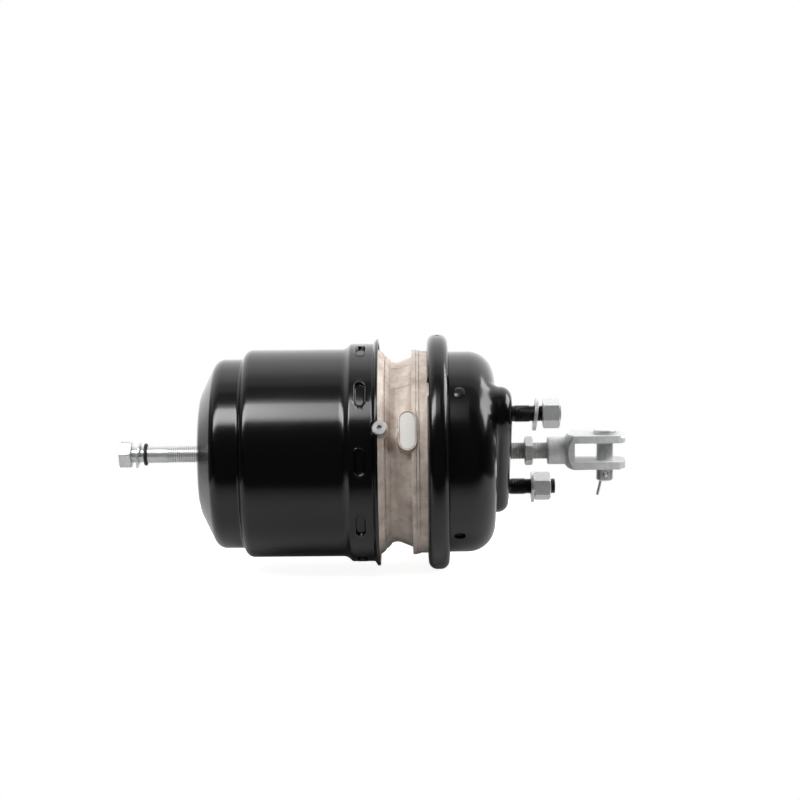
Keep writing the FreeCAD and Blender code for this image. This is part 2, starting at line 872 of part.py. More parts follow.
# Bosses: two for the air ports on the hidden side, one for the lock screw, and the label's pad
portX = clampX - s.portFromClamp
portBossReach = waistRadius + s.portBossRise
passageReach = waistRadius + s.passageRise
labelPadReach = waistRadius + s.labelPadRise
lockBossReach = mouthRadius + s.lockBossRise
ports = {"service_port": -90 + s.portTurn, "spring_port": -90 - s.portTurn}
for title, turn in ports.items():
    boss = facing_sketch(flange, f"{title}_boss", turn, portBossReach)
    draw_circle(boss, portX, 0, s.portBossRadius)
    extrude(flange, f"{title}_boss", boss, portBossReach - waistBore, reverse=True)
labelX = clampX - s.labelFromClamp
labelEnd = s.labelWidth / 2
labelHalf = s.labelLength / 2 - labelEnd
raised = facing_sketch(flange, "label_pad", s.labelTurn, labelPadReach)
draw_slot(raised, labelX, 0, labelHalf, labelEnd + s.labelPadMargin, "y")
extrude(flange, "label_pad", raised, labelPadReach - waistBore - s.castWall / 2, reverse=True)
boss = facing_sketch(flange, "screw_boss", s.lockScrewTurn, lockBossReach)
draw_circle(boss, screwX, 0, s.lockBossRadius)
extrude(flange, "screw_boss", boss, lockBossReach - mouthRadius + s.castWall, reverse=True)

# The two hollows either side of the web, and the hub between them
front = sketch_on(flange, "front_hollow", "XZ_Plane")
draw_outline(front, [
    (webFront, s.hubRadius),
    (hubFront, s.hubRadius),
    (hubFront, 0),
    (lipRear + s.overcut, 0),
    (lipRear + s.overcut, flangeBore),
    (clampX - s.frontBoreDepth, flangeBore),
    (webFront, waistBore),
])
revolve(flange, "front_hollow", front, cut=True)
rear = sketch_on(flange, "rear_hollow", "XZ_Plane")
draw_outline(rear, [
    (hubRear - s.overcut, s.hubRadius),
    (webRear, s.hubRadius),
    (webRear, waistBore - s.hollowCorner),
    (webRear - s.hollowCorner, waistBore),
    (rimX, spigotBore),
    (hubRear - s.overcut, spigotBore),
])
revolve(flange, "rear_hollow", rear, cut=True)
blend_edges(flange, "hub_corners", ring_edges(flange.Shape, [
    (webFront, s.hubRadius),
    (webRear, s.hubRadius),
]), s.castRound)

# Threaded mouths, each drilled through to its own chamber, and the lock screw's hole
drillStart = {"service_port": webFront + s.passageLength - s.overcut * 2, "spring_port": portX}
for title, turn in ports.items():
    mouth = facing_sketch(flange, f"{title}_mouth", turn, portBossReach + s.overcut)
    draw_circle(mouth, portX, 0, s.portRadius)
    extrude(flange, f"{title}_mouth", mouth, s.portDepth + s.overcut, cut=True)
    drill = sketch_on(flange, f"{title}_drill", "YZ_Plane", ("Base.z", drillStart[title]))
    draw_circle(drill, -(passageReach * sine(turn)), passageReach * cosine(turn), s.passageRadius)
    extrude(flange, f"{title}_drill", drill, s.passageLength, cut=True)
tapped = facing_sketch(flange, "screw_hole", s.lockScrewTurn, lockBossReach + s.overcut)
draw_circle(tapped, screwX, 0, s.lockScrewRadius)
extrude(flange, "screw_hole", tapped, s.lockScrewDepth + s.overcut * 2, cut=True)

plate = new_body("label_plate")
outline = facing_sketch(plate, "outline", s.labelTurn, labelPadReach)
draw_slot(outline, labelX, 0, labelHalf, labelEnd, "y")
extrude(plate, "blank", outline, s.labelThickness)

# Lock screw with a hexagon socket
screw = new_body("lock_screw")
head = facing_sketch(screw, "head", s.lockScrewTurn, lockBossReach)
draw_circle(head, screwX, 0, s.lockScrewHeadRadius)
extrude(screw, "head", head, s.lockScrewHeadHeight)
shank = facing_sketch(screw, "shank", s.lockScrewTurn, lockBossReach)
draw_circle(shank, screwX, 0, s.lockScrewRadius)
extrude(screw, "shank", shank, s.lockScrewDepth, reverse=True)
socket = facing_sketch(screw, "socket", s.lockScrewTurn, lockBossReach + s.lockScrewHeadHeight)
socketCorner = hex_corner(s.lockSocketFlats)
draw_outline(socket, [
    (screwX + socketCorner * cosine(60 * k), socketCorner * sine(60 * k)) for k in range(6)
])
extrude(screw, "socket", socket, s.lockSocketDepth, cut=True)

# Ring between can and spigot
seal = doc.addObject("Part::Torus", "flange_seal")
seal.Placement = Placement(Vector(0, 0, 0), Rotation(Vector(0, 1, 0), 90))
sealWire = (s.sealGrooveDepth + s.seatGap) / 2 - s.runningGap
bind(
    seal,
    ("Radius1", frontBore - s.runningGap - sealWire),
    ("Radius2", sealWire),
    ("Placement.Base.x", sealX),
)
keep("flange_seal", seal)

# Service housing: drawn cup with a long raised pad for the two studs
housing = new_body("service_housing")
outer = sketch_on(housing, "outer", "XZ_Plane")
draw_outline(outer, [
    (padBack, 0),
    (padBack, s.housingRadius - s.shoulderRound, s.shoulderRound),
    (shoulderStart, s.housingRadius),
    (lipFront + s.lipFootWidth, s.housingRadius),
    (lipFront + s.lipFootWidth, lipFootRadius),
    (lipFront + s.lipEdgeWidth, lipRadius),
    (lipFront, lipRadius),
    (lipFront, 0),
])
revolve(housing, "outer", outer)
padStart = shoulderStart + s.padRootInset
padTurn = ("Rotation.Angle", 90 + s.studTurn)
padSketch = sketch_on(housing, "pad", "YZ_Plane", ("Base.z", padStart), padTurn)
draw_slot(padSketch, 0, 0, s.studSpacing / 2, s.padWidth / 2, "x")
extrude(housing, "pad", padSketch, -padStart)


def pad_foot(shape):
    """Names of the edges where the raised pad meets the housing's end and shoulder."""
    names = []
    reach = (s.studSpacing.value + s.padWidth.value) / 2 + 0.05
    for number, edge in enumerate(shape.Edges, start=1):
        box = edge.BoundBox
        middle = edge.valueAt((edge.FirstParameter + edge.LastParameter) / 2)
        on_end = box.XMax < padBack.value + 0.01 and box.XMin > padStart.value + 0.01
        circle = edge.Curve.TypeId == "Part::GeomCircle" and abs(edge.Curve.Center.y) < 0.01
        if on_end and not circle and math.hypot(middle.y, middle.z) < reach:
            names.append(f"Edge{number}")
    return names


blend_edges(housing, "pad_edge", plane_loop(housing.Shape, size_of(0.0)), s.padEdgeRound)
blend_edges(housing, "pad_foot", pad_foot(housing.Shape), s.padFootRound)
inner = sketch_on(housing, "inner", "XZ_Plane")
draw_outline(inner, [
    (housingInner, 0),
    (lipFront - s.overcut, 0),
    (lipFront - s.overcut, s.housingRadius - s.housingWall),
    (shoulderStart, s.housingRadius - s.housingWall, -(s.shoulderRound - s.housingWall)),
    (housingInner, s.housingRadius - s.shoulderRound),
])
revolve(housing, "inner", inner, cut=True)
hollow = sketch_on(housing, "hollow", "YZ_Plane", ("Base.z", shoulderStart), padTurn)
draw_slot(hollow, 0, 0, s.studSpacing / 2, s.padWidth / 2 - s.housingWall, "x")
extrude(housing, "hollow", hollow, -shoulderStart - s.housingWall, cut=True, reverse=True)
blend_edges(
    housing,
    "hollow_edge",
    plane_loop(housing.Shape, -s.housingWall),
    s.padEdgeRound - s.housingWall,
)
opening = sketch_on(housing, "rod_opening", "YZ_Plane", ("Base.z", s.overcut))
draw_circle(opening, 0, 0, s.rodOpeningRadius)
extrude(housing, "rod_opening", opening, s.housingWall * 2, cut=True)
studs = sketch_on(housing, "stud_holes", "YZ_Plane", ("Base.z", s.overcut), padTurn)
draw_circle(studs, s.studSpacing / 2, 0, s.studNeckRadius)
draw_circle(studs, -(s.studSpacing / 2), 0, s.studNeckRadius)
extrude(housing, "stud_holes", studs, s.housingWall * 2, cut=True)
ventX = padBack - s.ventFromEnd
vent = facing_sketch(housing, "vent", s.ventTurn, s.housingRadius + s.overcut)
draw_circle(vent, ventX, 0, s.ventRadius)
ventCut = extrude(housing, "vent", vent, s.housingWall * 3, cut=True)
repeat_round(housing, "vents", [ventCut], s.ventCount, -1)

# Plugs in three of the four vents: a domed cap and a shank through the wall
plugs = []
for step in range(3):
    plug = turn_outline(spare_body("vent_plug"), [
        (0, -s.ventShankLength),
        (s.ventRadius - s.ventShankTaper, -s.ventShankLength),
        (s.ventRadius - s.runningGap, 0),
        (s.ventCapRadius, 0),
        (s.ventCapRadius, s.ventCapRim),
        (s.ventCapFlat, s.ventCapHeight),
        (0, s.ventCapHeight),
    ], "V_Axis")
    turn = s.ventTurn - size_of(step * 360) / s.ventCount
    place_facing(plug, "Placement", ventX, turn, s.housingRadius + s.runningGap)
    plugs.append(plug)
group("vent_plugs", plugs)

# V clamp band: one strip bent to a V section, split at its bolt and relieved opposite
bandInner = lipRadius + s.bandOverLips
bandRadius = bandInner + s.bandThickness
bandLegEnd = lipFootRadius + s.bandLegGap
legFoot = s.beadWidth / 2 + s.lipFootWidth + s.seatGap
legTop = legFoot - (bandInner - lipFootRadius) * lipSlope
crownHalf = legTop + s.bandThickness
band = new_body("clamp_band")
section = sketch_on(band, "section", "XZ_Plane")
footIn = legFoot - (bandLegEnd - lipFootRadius) * lipSlope
draw_outline(section, [
    (clampX - footIn, bandLegEnd),
    (clampX - legTop, bandInner),
    (clampX + legTop, bandInner),
    (clampX + footIn, bandLegEnd),
    (clampX + footIn + s.bandThickness, bandLegEnd),
    (clampX + crownHalf, bandRadius),
    (clampX - crownHalf, bandRadius),
    (clampX - footIn - s.bandThickness, bandLegEnd),
])
revolve(band, "strip", section, 360 - s.bandSplitAngle, both=True)
blend_edges(band, "bends", ring_edges(band.Shape, [
    (clampX + crownHalf, bandRadius),
    (clampX - crownHalf, bandRadius),
]), s.bandBendRadius)
blend_edges(band, "inner_bends", ring_edges(band.Shape, [
    (clampX + legTop, bandInner),
    (clampX - legTop, bandInner),
]), s.bandBendRadius - s.bandThickness)

# Relief in the middle of the strip, where the legs are cut away and the crown stays
relief = sketch_on(band, "relief", "XZ_Plane")
reliefTop = bandInner - s.passGap
legOut = footIn + s.bandThickness + s.overcut
for sign in (1, -1):
    draw_outline(relief, [
        (clampX + (footIn - s.overcut) * sign, bandLegEnd - s.overcut),
        (clampX + legOut * sign, bandLegEnd - s.overcut),
        (clampX + legOut * sign, reliefTop),
        (clampX + (legTop - s.bandBendRadius + s.bandThickness) * sign, reliefTop),
    ])
revolve(band, "relief", relief, s.bandReliefAngle, cut=True, both=True)

# Small hole through the crown at the top of the band
hole = facing_sketch(band, "top_hole", -s.bandHoleTurn, bandRadius + s.overcut)
draw_circle(hole, clampX, 0, s.bandHoleRadius)
extrude(band, "top_hole", hole, s.bandThickness + s.overcut * 2, cut=True)

# Ears bent out at the split, drilled for the bolt
earInner = bandInner * sine(s.bandSplitAngle / 2)
earOuter = earInner + s.lugThickness
boltReach = bandRadius + s.lugReach / 2
earHalf = crownHalf - s.lugInset
for title, sign in (("far_ear", 1), ("near_ear", -1)):
    ear = sketch_on(band, title, "XY_Plane", ("Base.z", -bandInner))
    draw_outline(ear, [
        (clampX - earHalf, earInner * sign),
        (clampX + earHalf, earInner * sign),
        (clampX + earHalf, earOuter * sign),
        (clampX - earHalf, earOuter * sign),
    ])
    extrude(band, title, ear, s.lugReach + s.bandThickness, reverse=True)


def ear_corners(shape):
    """Names of the short edges across the ears at their outer corners."""
    names = []
    for number, edge in enumerate(shape.Edges, start=1):
        box = edge.BoundBox
        straight = edge.Curve.TypeId == "Part::GeomLine" and box.XLength < 0.01 and box.ZLength < 0.01
        at_top = abs(box.ZMin + bandRadius.value + s.lugReach.value) < 0.01
        if straight and at_top and abs(box.YLength - s.lugThickness.value) < 0.01:
            names.append(f"Edge{number}")
    return names


blend_edges(band, "ear_corners", ear_corners(band.Shape), s.lugCornerRound)
earHole = sketch_on(band, "ear_hole", "XZ_Plane")
draw_circle(earHole, clampX, -boltReach, s.clampBoltRadius + s.passGap / 2)
extrude(band, "ear_hole", earHole, (earOuter + s.overcut) * 2, cut=True, both=True)

turn_about_x(band, s.bandTurn)


def hex_across(title, start, height, flats):
    """A hexagonal prism along Y at the clamp bolt."""
    prism = doc.addObject("Part::Prism", title)
    prism.Polygon = 6
    prism.Placement = Placement(Vector(0, 0, 0), Rotation(Vector(1, 0, 0), -90))
    bind(
        prism,
        ("Circumradius", hex_corner(flats)),
        ("Height", height),
        ("Placement.Base.x", clampX),
        ("Placement.Base.y", start),
        ("Placement.Base.z", -boltReach),
    )
    return prism


def rod_across(title, start, length, radius):
    cylinder = doc.addObject("Part::Cylinder", title)
    cylinder.Placement = Placement(Vector(0, 0, 0), Rotation(Vector(1, 0, 0), -90))
    bind(
        cylinder,
        ("Radius", radius),
        ("Height", length),
        ("Placement.Base.x", clampX),
        ("Placement.Base.y", start),
        ("Placement.Base.z", -boltReach),
    )
    return cylinder


# Clamp bolt and nut, made along the axis of the ears' holes and turned with the band
boltLength = earOuter * 2 + s.clampNutHeight + s.clampBoltTail
boltHead = hex_across("clamp_bolt_head", -earOuter - s.clampBoltHead, s.clampBoltHead, s.clampBoltFlats)
boltShank = rod_across("clamp_bolt_shank", -earOuter, boltLength, s.clampBoltRadius)
clampBolt = keep("clamp_bolt", combine("Part::Fuse", "clamp_bolt", boltHead, boltShank))
nutHex = hex_across("clamp_nut_hex", earOuter, s.clampNutHeight, s.clampBoltFlats)
nutHole = rod_across(
    "clamp_nut_hole",
    earOuter - s.overcut,
    s.clampNutHeight + s.overcut * 2,
    s.clampBoltRadius + s.runningGap,
)
clampNut = keep("clamp_nut", combine("Part::Cut", "clamp_nut", nutHex, nutHole))
for fastener in (clampBolt, clampNut):
    turn_about_x(fastener, s.bandTurn)

# Parking piston: a cup with grooves for its seal and guide ring
pistonFront = stepX + s.pistonFromStep
pistonRear = pistonFront - s.pistonDepth
pistonRadius = frontBore - s.pistonGap
pistonInner = pistonRadius - s.pistonSkirtWall
plateRear = pistonFront - s.pistonPlate
sealFront = pistonFront - s.pistonLand
guideRear = pistonRear + s.pistonLand
turned("spring_piston", [
    (plateRear, releaseHole),
    (pistonFront, releaseHole),
    (pistonFront, pistonRadius),
    (sealFront, pistonRadius),
    (sealFront, pistonRadius - s.pistonSealDepth),
    (sealFront - s.pistonSealWidth, pistonRadius - s.pistonSealDepth),
    (sealFront - s.pistonSealWidth, pistonRadius),
    (guideRear + s.guideRingWidth, pistonRadius),
    (guideRear + s.guideRingWidth, pistonRadius - s.guideRingDepth),
    (guideRear, pistonRadius - s.guideRingDepth),
    (guideRear, pistonRadius),
    (pistonRear, pistonRadius),
    (pistonRear, pistonInner),
    (plateRear - s.pistonCorner, pistonInner),
    (plateRear, pistonInner - s.pistonCorner),
])
ringOuter = frontBore - s.runningGap
turned_ring(
    "piston_seal",
    sealFront - s.pistonSealWidth + s.ringSideGap,
    sealFront - s.ringSideGap,
    pistonRadius - s.pistonSealDepth + s.runningGap,
    ringOuter,
)
turned_ring(
    "piston_guide_ring",
    guideRear + s.ringSideGap,
    guideRear + s.guideRingWidth - s.ringSideGap,
    pistonRadius - s.guideRingDepth + s.runningGap,
    ringOuter,
)
powerCoilRadius = canRearRadius - s.powerCoilInset
coneGap = canRearRadius - s.canWall - powerCoilRadius
coneSeat = ((s.powerWireRadius + s.seatGap) * coneSlant - coneGap * s.coneDepth) / s.coneHeight
powerStart = kneeInnerX + coneSeat
coil(
    "power_spring",
    s.powerWireRadius,
    powerStart,
    plateRear - s.powerWireRadius - s.seatGap,
    powerCoilRadius,
    powerCoilRadius,
    s.powerTurns,
)

# Tube that carries the piston's push through the hub, its end plug, bush and seals
diaphragmRear = clampX - s.diaphragmFromClamp
plugFront = diaphragmRear - s.seatGap
tubeFront = plugFront - s.plugHead
turned_ring("piston_tube", pistonFront, tubeFront, s.tubeBore, s.tubeRadius)
turned("tube_end_plug", [
    (tubeFront - s.plugReach, 0),
    (plugFront, 0),
    (plugFront, s.tubeRadius - s.plugInset - s.plugChamfer),
    (plugFront - s.plugChamfer, s.tubeRadius - s.plugInset),
    (tubeFront, s.tubeRadius - s.plugInset),
    (tubeFront, s.tubeBore - s.runningGap),
    (tubeFront - s.plugReach, s.tubeBore - s.runningGap),
])
tubeSlide = s.tubeRadius + s.runningGap
bushRear = hubRear + s.tubeSealWidth + s.tubeSealGap
bushFront = hubFront - s.tubeSealWidth - s.tubeSealGap
turned_ring("tube_guide_bush", bushRear, bushFront, tubeSlide, s.hubBoreRadius)
group("tube_seals", [
    spare_ring("rear_tube_seal", hubRear, hubRear + s.tubeSealWidth, tubeSlide, s.hubBoreRadius),
    spare_ring("front_tube_seal", hubFront - s.tubeSealWidth, hubFront, tubeSlide, s.hubBoreRadius),
])

# Release bolt with its loose washer, rubber ring and inner collar, and the bush that it screws through
releaseSeat = apexX - s.releaseOut
releaseEnd = pistonFront + s.seatGap + s.collarLength
headStart = releaseSeat - s.releaseHead
headPrism = hex_prism("release_prism", headStart, s.releaseHead, s.releaseFlats, s.releaseHeadTurn)
headBlank = barrel("release_head", headStart, s.releaseHead, s.releaseFlats)
releaseHexagon = combine("Part::Common", "release_hexagon", headPrism, headBlank)
releaseShank = rod("release_shank", releaseSeat, releaseEnd - releaseSeat, s.releaseRadius)
keep("release_bolt", combine("Part::Fuse", "release_bolt", releaseHexagon, releaseShank))
turned_ring(
    "release_thrust_collar",
    pistonFront + s.seatGap,
    releaseEnd,
    s.releaseRadius + s.runningGap,
    s.collarRadius,
)
looseWasher = turned_ring(
    "release_washer",
    -(s.looseWasherThickness / 2),
    s.looseWasherThickness / 2,
    s.releaseRadius + s.looseWasherPlay,
    s.looseWasherRadius,
)
looseWasher.Placement = Placement(Vector(0, 0, 0), Rotation(Vector(0, 1, 0), 1))
bind(
    looseWasher,
    ("Placement.Base.x", releaseSeat + s.looseWasherFromHead + s.looseWasherThickness / 2),
    ("Placement.Base.z", -s.looseWasherDrop),
    ("Placement.Rotation.Angle", s.looseWasherTilt),
)
ringX = releaseSeat + s.releaseRingFromHead
ring = turned_ring(
    "release_seal_ring",
    ringX - s.releaseRingWidth / 2,
    ringX + s.releaseRingWidth / 2,
    s.releaseRadius + s.runningGap,
    s.releaseRingRadius,
)
blend_edges(ring, "round", ring_edges(ring.Shape, [
    (ringX - s.releaseRingWidth / 2, s.releaseRingRadius),
    (ringX + s.releaseRingWidth / 2, s.releaseRingRadius),
]), s.releaseRingRound)
releaseSlide = s.releaseRadius + s.runningGap
bushSeat = crownCentreX - leg(crownInner, s.releaseBushRadius)
turned("release_thread_bush", [
    (crownCentreX - leg(crownInner, releaseSlide), releaseSlide),
    (apexX + s.canWall + s.releaseBushLength, releaseSlide),
    (apexX + s.canWall + s.releaseBushLength, s.releaseBushRadius),
    (bushSeat, s.releaseBushRadius, crownInner),
])

# Service side: diaphragm clamped between the lips, push plate, rod, return spring and dust guard
diaphragmFront = diaphragmRear + s.diaphragmThickness
beadRadius = lipRadius - s.seatGap
diaphragmFlat = flangeBore - s.diaphragmFold
diaphragmNeck = flangeBore - s.diaphragmNeckGap
turned("service_diaphragm", [
    (diaphragmRear, 0),
    (diaphragmFront, 0),
    (diaphragmFront, diaphragmFlat),
    (lipFront, diaphragmNeck),
    (lipFront, beadRadius),
    (lipRear, beadRadius),
    (lipRear, flangeBore - s.seatGap),
    (diaphragmRear, diaphragmFlat + s.diaphragmThickness / 2),
])
pushRear = diaphragmFront + s.seatGap
pushFront = pushRear + s.pushPlateThickness
pushPlateRadius = diaphragmFlat - s.pushPlateInset
turned("push_plate", [
    (pushRear, 0),
    (pushFront, 0),
    (pushFront, pushPlateRadius - s.pushPlateDish * 2),
    (pushFront + s.pushPlateRim, pushPlateRadius - s.pushPlateDish),
    (pushFront + s.pushPlateRim, pushPlateRadius),
    (pushRear + s.pushPlateRim, pushPlateRadius),
    (pushRear, pushPlateRadius - s.pushPlateDish),
])
turned("push_rod", [
    (pushFront, 0),
    (s.rodEnd, 0),
    (s.rodEnd, s.rodRadius - s.rodChamfer),
    (s.rodEnd - s.rodChamfer, s.rodRadius),
    (pushFront + s.rodFootHeight + s.rodFootTaper, s.rodRadius),
    (pushFront + s.rodFootHeight, s.rodFootRadius),
    (pushFront, s.rodFootRadius),
])
coil(
    "return_spring",
    s.returnWireRadius,
    pushFront + s.returnWireRadius + s.seatGap,
    housingInner - s.returnWireRadius - s.seatGap,
    s.returnRearRadius,
    s.returnFrontRadius,
    s.returnTurns,
)
guardFront = -s.housingWall - s.seatGap
turned_ring(
    "dust_guard",
    guardFront - s.dustGuardThickness,
    guardFront,
    s.rodRadius + s.passGap,
    s.dustGuardRadius,
)
rodNutBore = s.rodRadius + s.runningGap
keep("jam_nut", nut("jam_nut", s.jamNutStart, s.jamNutHeight, s.nutFlats, rodNutBore, s.jamNutTurn))

# Studs with their heads inside the pad, nuts and washers
studReach = s.studSpacing / 2
studPieces = []
nutPieces = []
washerPieces = []
nutBore = s.studThreadRadius + s.runningGap
ends = {
    "near": (s.studTurn, s.nearNutStart, s.nearNutTurn, s.nearWasherStart, s.nearWasherTilt),
    "far": (s.studTurn + 180, s.farNutStart, s.farNutTurn, s.farNutStart - s.washerThickness, size_of(0)),
}
for title, (turn, nutStart, nutTurn, washerX, tilt) in ends.items():
    stud = turn_outline(spare_body(f"{title}_stud"), [
        (-s.housingWall - s.studHeadHeight, 0),
        (s.studLength, 0),
        (s.studLength, s.studThreadRadius - s.studChamfer),
        (s.studLength - s.studChamfer, s.studThreadRadius),
        (s.studShankLength, s.studThreadRadius),
        (s.studShankLength, s.studRadius),
        (0, s.studRadius),
        (0, s.studNeckRadius),
        (-s.housingWall, s.studNeckRadius),
        (-s.housingWall, s.studHeadRadius),
        (s.studHeadChamfer - s.housingWall - s.studHeadHeight, s.studHeadRadius),
        (-s.housingWall - s.studHeadHeight, s.studHeadRadius - s.studHeadChamfer),
    ])
    studPieces.append(shift(stud, turn, studReach))
    piece = nut(f"{title}_nut", nutStart, s.nutHeight, s.nutFlats, nutBore, nutTurn)
    nutPieces.append(shift(piece, turn, studReach))
    half = s.washerThickness / 2
    washer = spare_ring(f"{title}_washer", -half, half, s.washerBore, s.washerRadius)
    washer.Placement = Placement(Vector(0, 0, 0), Rotation(Vector(0, 1, 0), 1))
    hang = s.washerBore - s.studRadius - s.runningGap * 2
    bind(
        washer,
        ("Placement.Rotation.Angle", tilt),
        ("Placement.Base.x", washerX + half),
        ("Placement.Base.y", -(studReach * sine(turn))),
        ("Placement.Base.z", studReach * cosine(turn) - hang),
    )
    washerPieces.append(washer)
group("mounting_studs", studPieces)
group("stud_nuts", nutPieces)
group("stud_washers", washerPieces)

# Clevis: a square forging, turned at both ends and slotted for the lever
clevis = new_body("clevis")
blockStart = s.clevisStart + s.clevisBossLength
clevisEnd = s.clevisStart + s.clevisLength
slotStart = blockStart + s.clevisShoulder
halfSquare = s.clevisSquare / 2
cornerReach = halfSquare * root(size_of(2))
clearReach = cornerReach + s.overcut
plan = sketch_on(clevis, "plan", "XY_Plane")
draw_outline(plan, [
    (blockStart, -halfSquare),
    (clevisEnd - s.clevisEndRound, -halfSquare, s.clevisEndRound),
    (clevisEnd, s.clevisEndRound - halfSquare),
    (clevisEnd, halfSquare - s.clevisEndRound, s.clevisEndRound),
    (clevisEnd - s.clevisEndRound, halfSquare),
    (blockStart, halfSquare),
])
extrude(clevis, "block", plan, s.clevisSquare, both=True)
boss = sketch_on(clevis, "boss", "XZ_Plane")
draw_outline(boss, [
    (s.clevisStart, 0),
    (blockStart + s.overcut, 0),
    (blockStart + s.overcut, s.clevisBossRadius),
    (s.clevisStart + s.clevisBossChamfer, s.clevisBossRadius),
    (s.clevisStart, s.clevisBossRadius - s.clevisBossChamfer),
])
revolve(clevis, "boss", boss)
shoulder = sketch_on(clevis, "shoulder", "XZ_Plane")
draw_outline(shoulder, [
    (blockStart - s.overcut, s.clevisBossRadius),
    (blockStart, s.clevisBossRadius),
    (slotStart, clearReach),
    (blockStart - s.overcut, clearReach),
])
revolve(clevis, "shoulder", shoulder, cut=True)
nose = sketch_on(clevis, "nose", "XZ_Plane")
draw_outline(nose, [
    (clevisEnd + s.overcut, halfSquare),
    (clevisEnd + s.overcut, clearReach),
    (clevisEnd - s.clevisEndTurn, clearReach),
    (clevisEnd - s.clevisEndTurn, cornerReach - s.clevisEndDrop),
])
revolve(clevis, "nose", nose, cut=True)
slot = sketch_on(clevis, "slot", "XZ_Plane")
draw_outline(slot, [
    (slotStart, -(s.clevisSlot / 2)),
    (clevisEnd + s.overcut, -(s.clevisSlot / 2)),
    (clevisEnd + s.overcut, s.clevisSlot / 2),
    (slotStart, s.clevisSlot / 2),
])
extrude(clevis, "slot", slot, s.clevisSquare + s.overcut * 2, cut=True, both=True)
pinX = s.clevisStart + s.pinFromStart
pinBore = s.pinRadius + s.runningGap
eye = sketch_on(clevis, "eye", "XY_Plane")
draw_circle(eye, pinX, 0, pinBore)
extrude(clevis, "eye", eye, s.clevisSquare + s.overcut * 2, cut=True, both=True)
bore = sketch_on(clevis, "rod_bore", "YZ_Plane", ("Base.z", s.clevisStart - s.overcut))
draw_circle(bore, 0, 0, s.rodRadius + s.runningGap)
extrude(clevis, "rod_bore", bore, slotStart - s.clevisStart + s.overcut * 2, cut=True, reverse=True)

# Clevis pin with its head on top, and the cotter through its lower end
headUnder = halfSquare + s.seatGap / 2
pinEnd = headUnder - s.pinLength
cotterZ = pinEnd + s.cotterFromEnd
pin = turn_outline(new_body("clevis_pin"), [
    (0, pinEnd),
    (s.pinRadius - s.pinTipChamfer, pinEnd),
    (s.pinRadius, pinEnd + s.pinTipChamfer),
    (s.pinRadius, headUnder),
    (s.pinHeadRadius, headUnder),
    (s.pinHeadRadius, headUnder + s.pinHeadHeight - s.pinHeadChamfer),
    (s.pinHeadRadius - s.pinHeadChamfer, headUnder + s.pinHeadHeight),
    (0, headUnder + s.pinHeadHeight),
], "V_Axis")
cross = sketch_on(pin, "cotter_hole", "XZ_Plane")
draw_circle(cross, 0, cotterZ, s.cotterHoleRadius)
extrude(pin, "cotter_hole", cross, s.pinRadius * 4, cut=True, both=True)
bind(pin, ("Placement.Base.x", pinX))

wire = s.cotterWireRadius.value
bendRadius = s.cotterBendRadius.value
eyeY = -(s.pinRadius.value + s.cotterEyeRadius.value + wire)


def cotter_leg(lift):
    """One leg: from the eye through the pin, bent down behind it and slanting a little."""
    slant = math.radians(s.cotterLegSlant.value)
    legY = s.pinRadius.value + bendRadius + wire + lift
    start = Vector(0, eyeY + s.cotterEyeRadius.value, lift)
    bend_start = Vector(0, legY - bendRadius, lift)
    quarter = math.sin(math.pi / 4)
    down = Vector(-math.sin(slant), 0, -math.cos(slant))
    along = Vector(0, bendRadius * quarter, 0)
    bend_middle = bend_start + along + down * (bendRadius * (1 - quarter))
    bend_end = bend_start + Vector(0, bendRadius, 0) + down * bendRadius
    finish = bend_end + down * (s.cotterLegLength.value + lift)
    edges = [
        Part.LineSegment(start, bend_start).toShape(),
        Part.Arc(bend_start, bend_middle, bend_end).toShape(),
        Part.LineSegment(bend_end, finish).toShape(),
    ]
    section = Part.Wire([Part.makeCircle(wire, start, Vector(0, 1, 0))])
    return Part.Wire(edges).makePipeShell([section], True, False)


eyeRing = Part.makeTorus(s.cotterEyeRadius.value, wire, Vector(0, eyeY, 0), Vector(1, 0, 0))
cotter = doc.addObject("Part::Feature", "cotter_pin")
legLift = wire - s.cotterLegOverlap.value
cotter.Shape = eyeRing.fuse([cotter_leg(legLift), cotter_leg(-legLift)])
bind(cotter, ("Placement.Base.x", pinX), ("Placement.Base.z", cotterZ))
keep("cotter_pin", cotter)

# Test every object, then write each piece
doc.recompute()
for thing in doc.Objects:
    if "Invalid" in thing.State or "Error" in thing.State:
        raise ValueError(f"{thing.Name} failed: {thing.State}")
os.makedirs("parts", exist_ok=True)
for name, thing in nodes.items():
    shape = thing.Shape
    if shape.isNull() or not shape.isValid() or shape.Volume <= 0:
        raise ValueError(f"{name} has no valid solid")
    shape.exportStep(f"parts/{name}.step")
    print(name, len(shape.Solids), round(shape.Volume))
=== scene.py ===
import json
import math

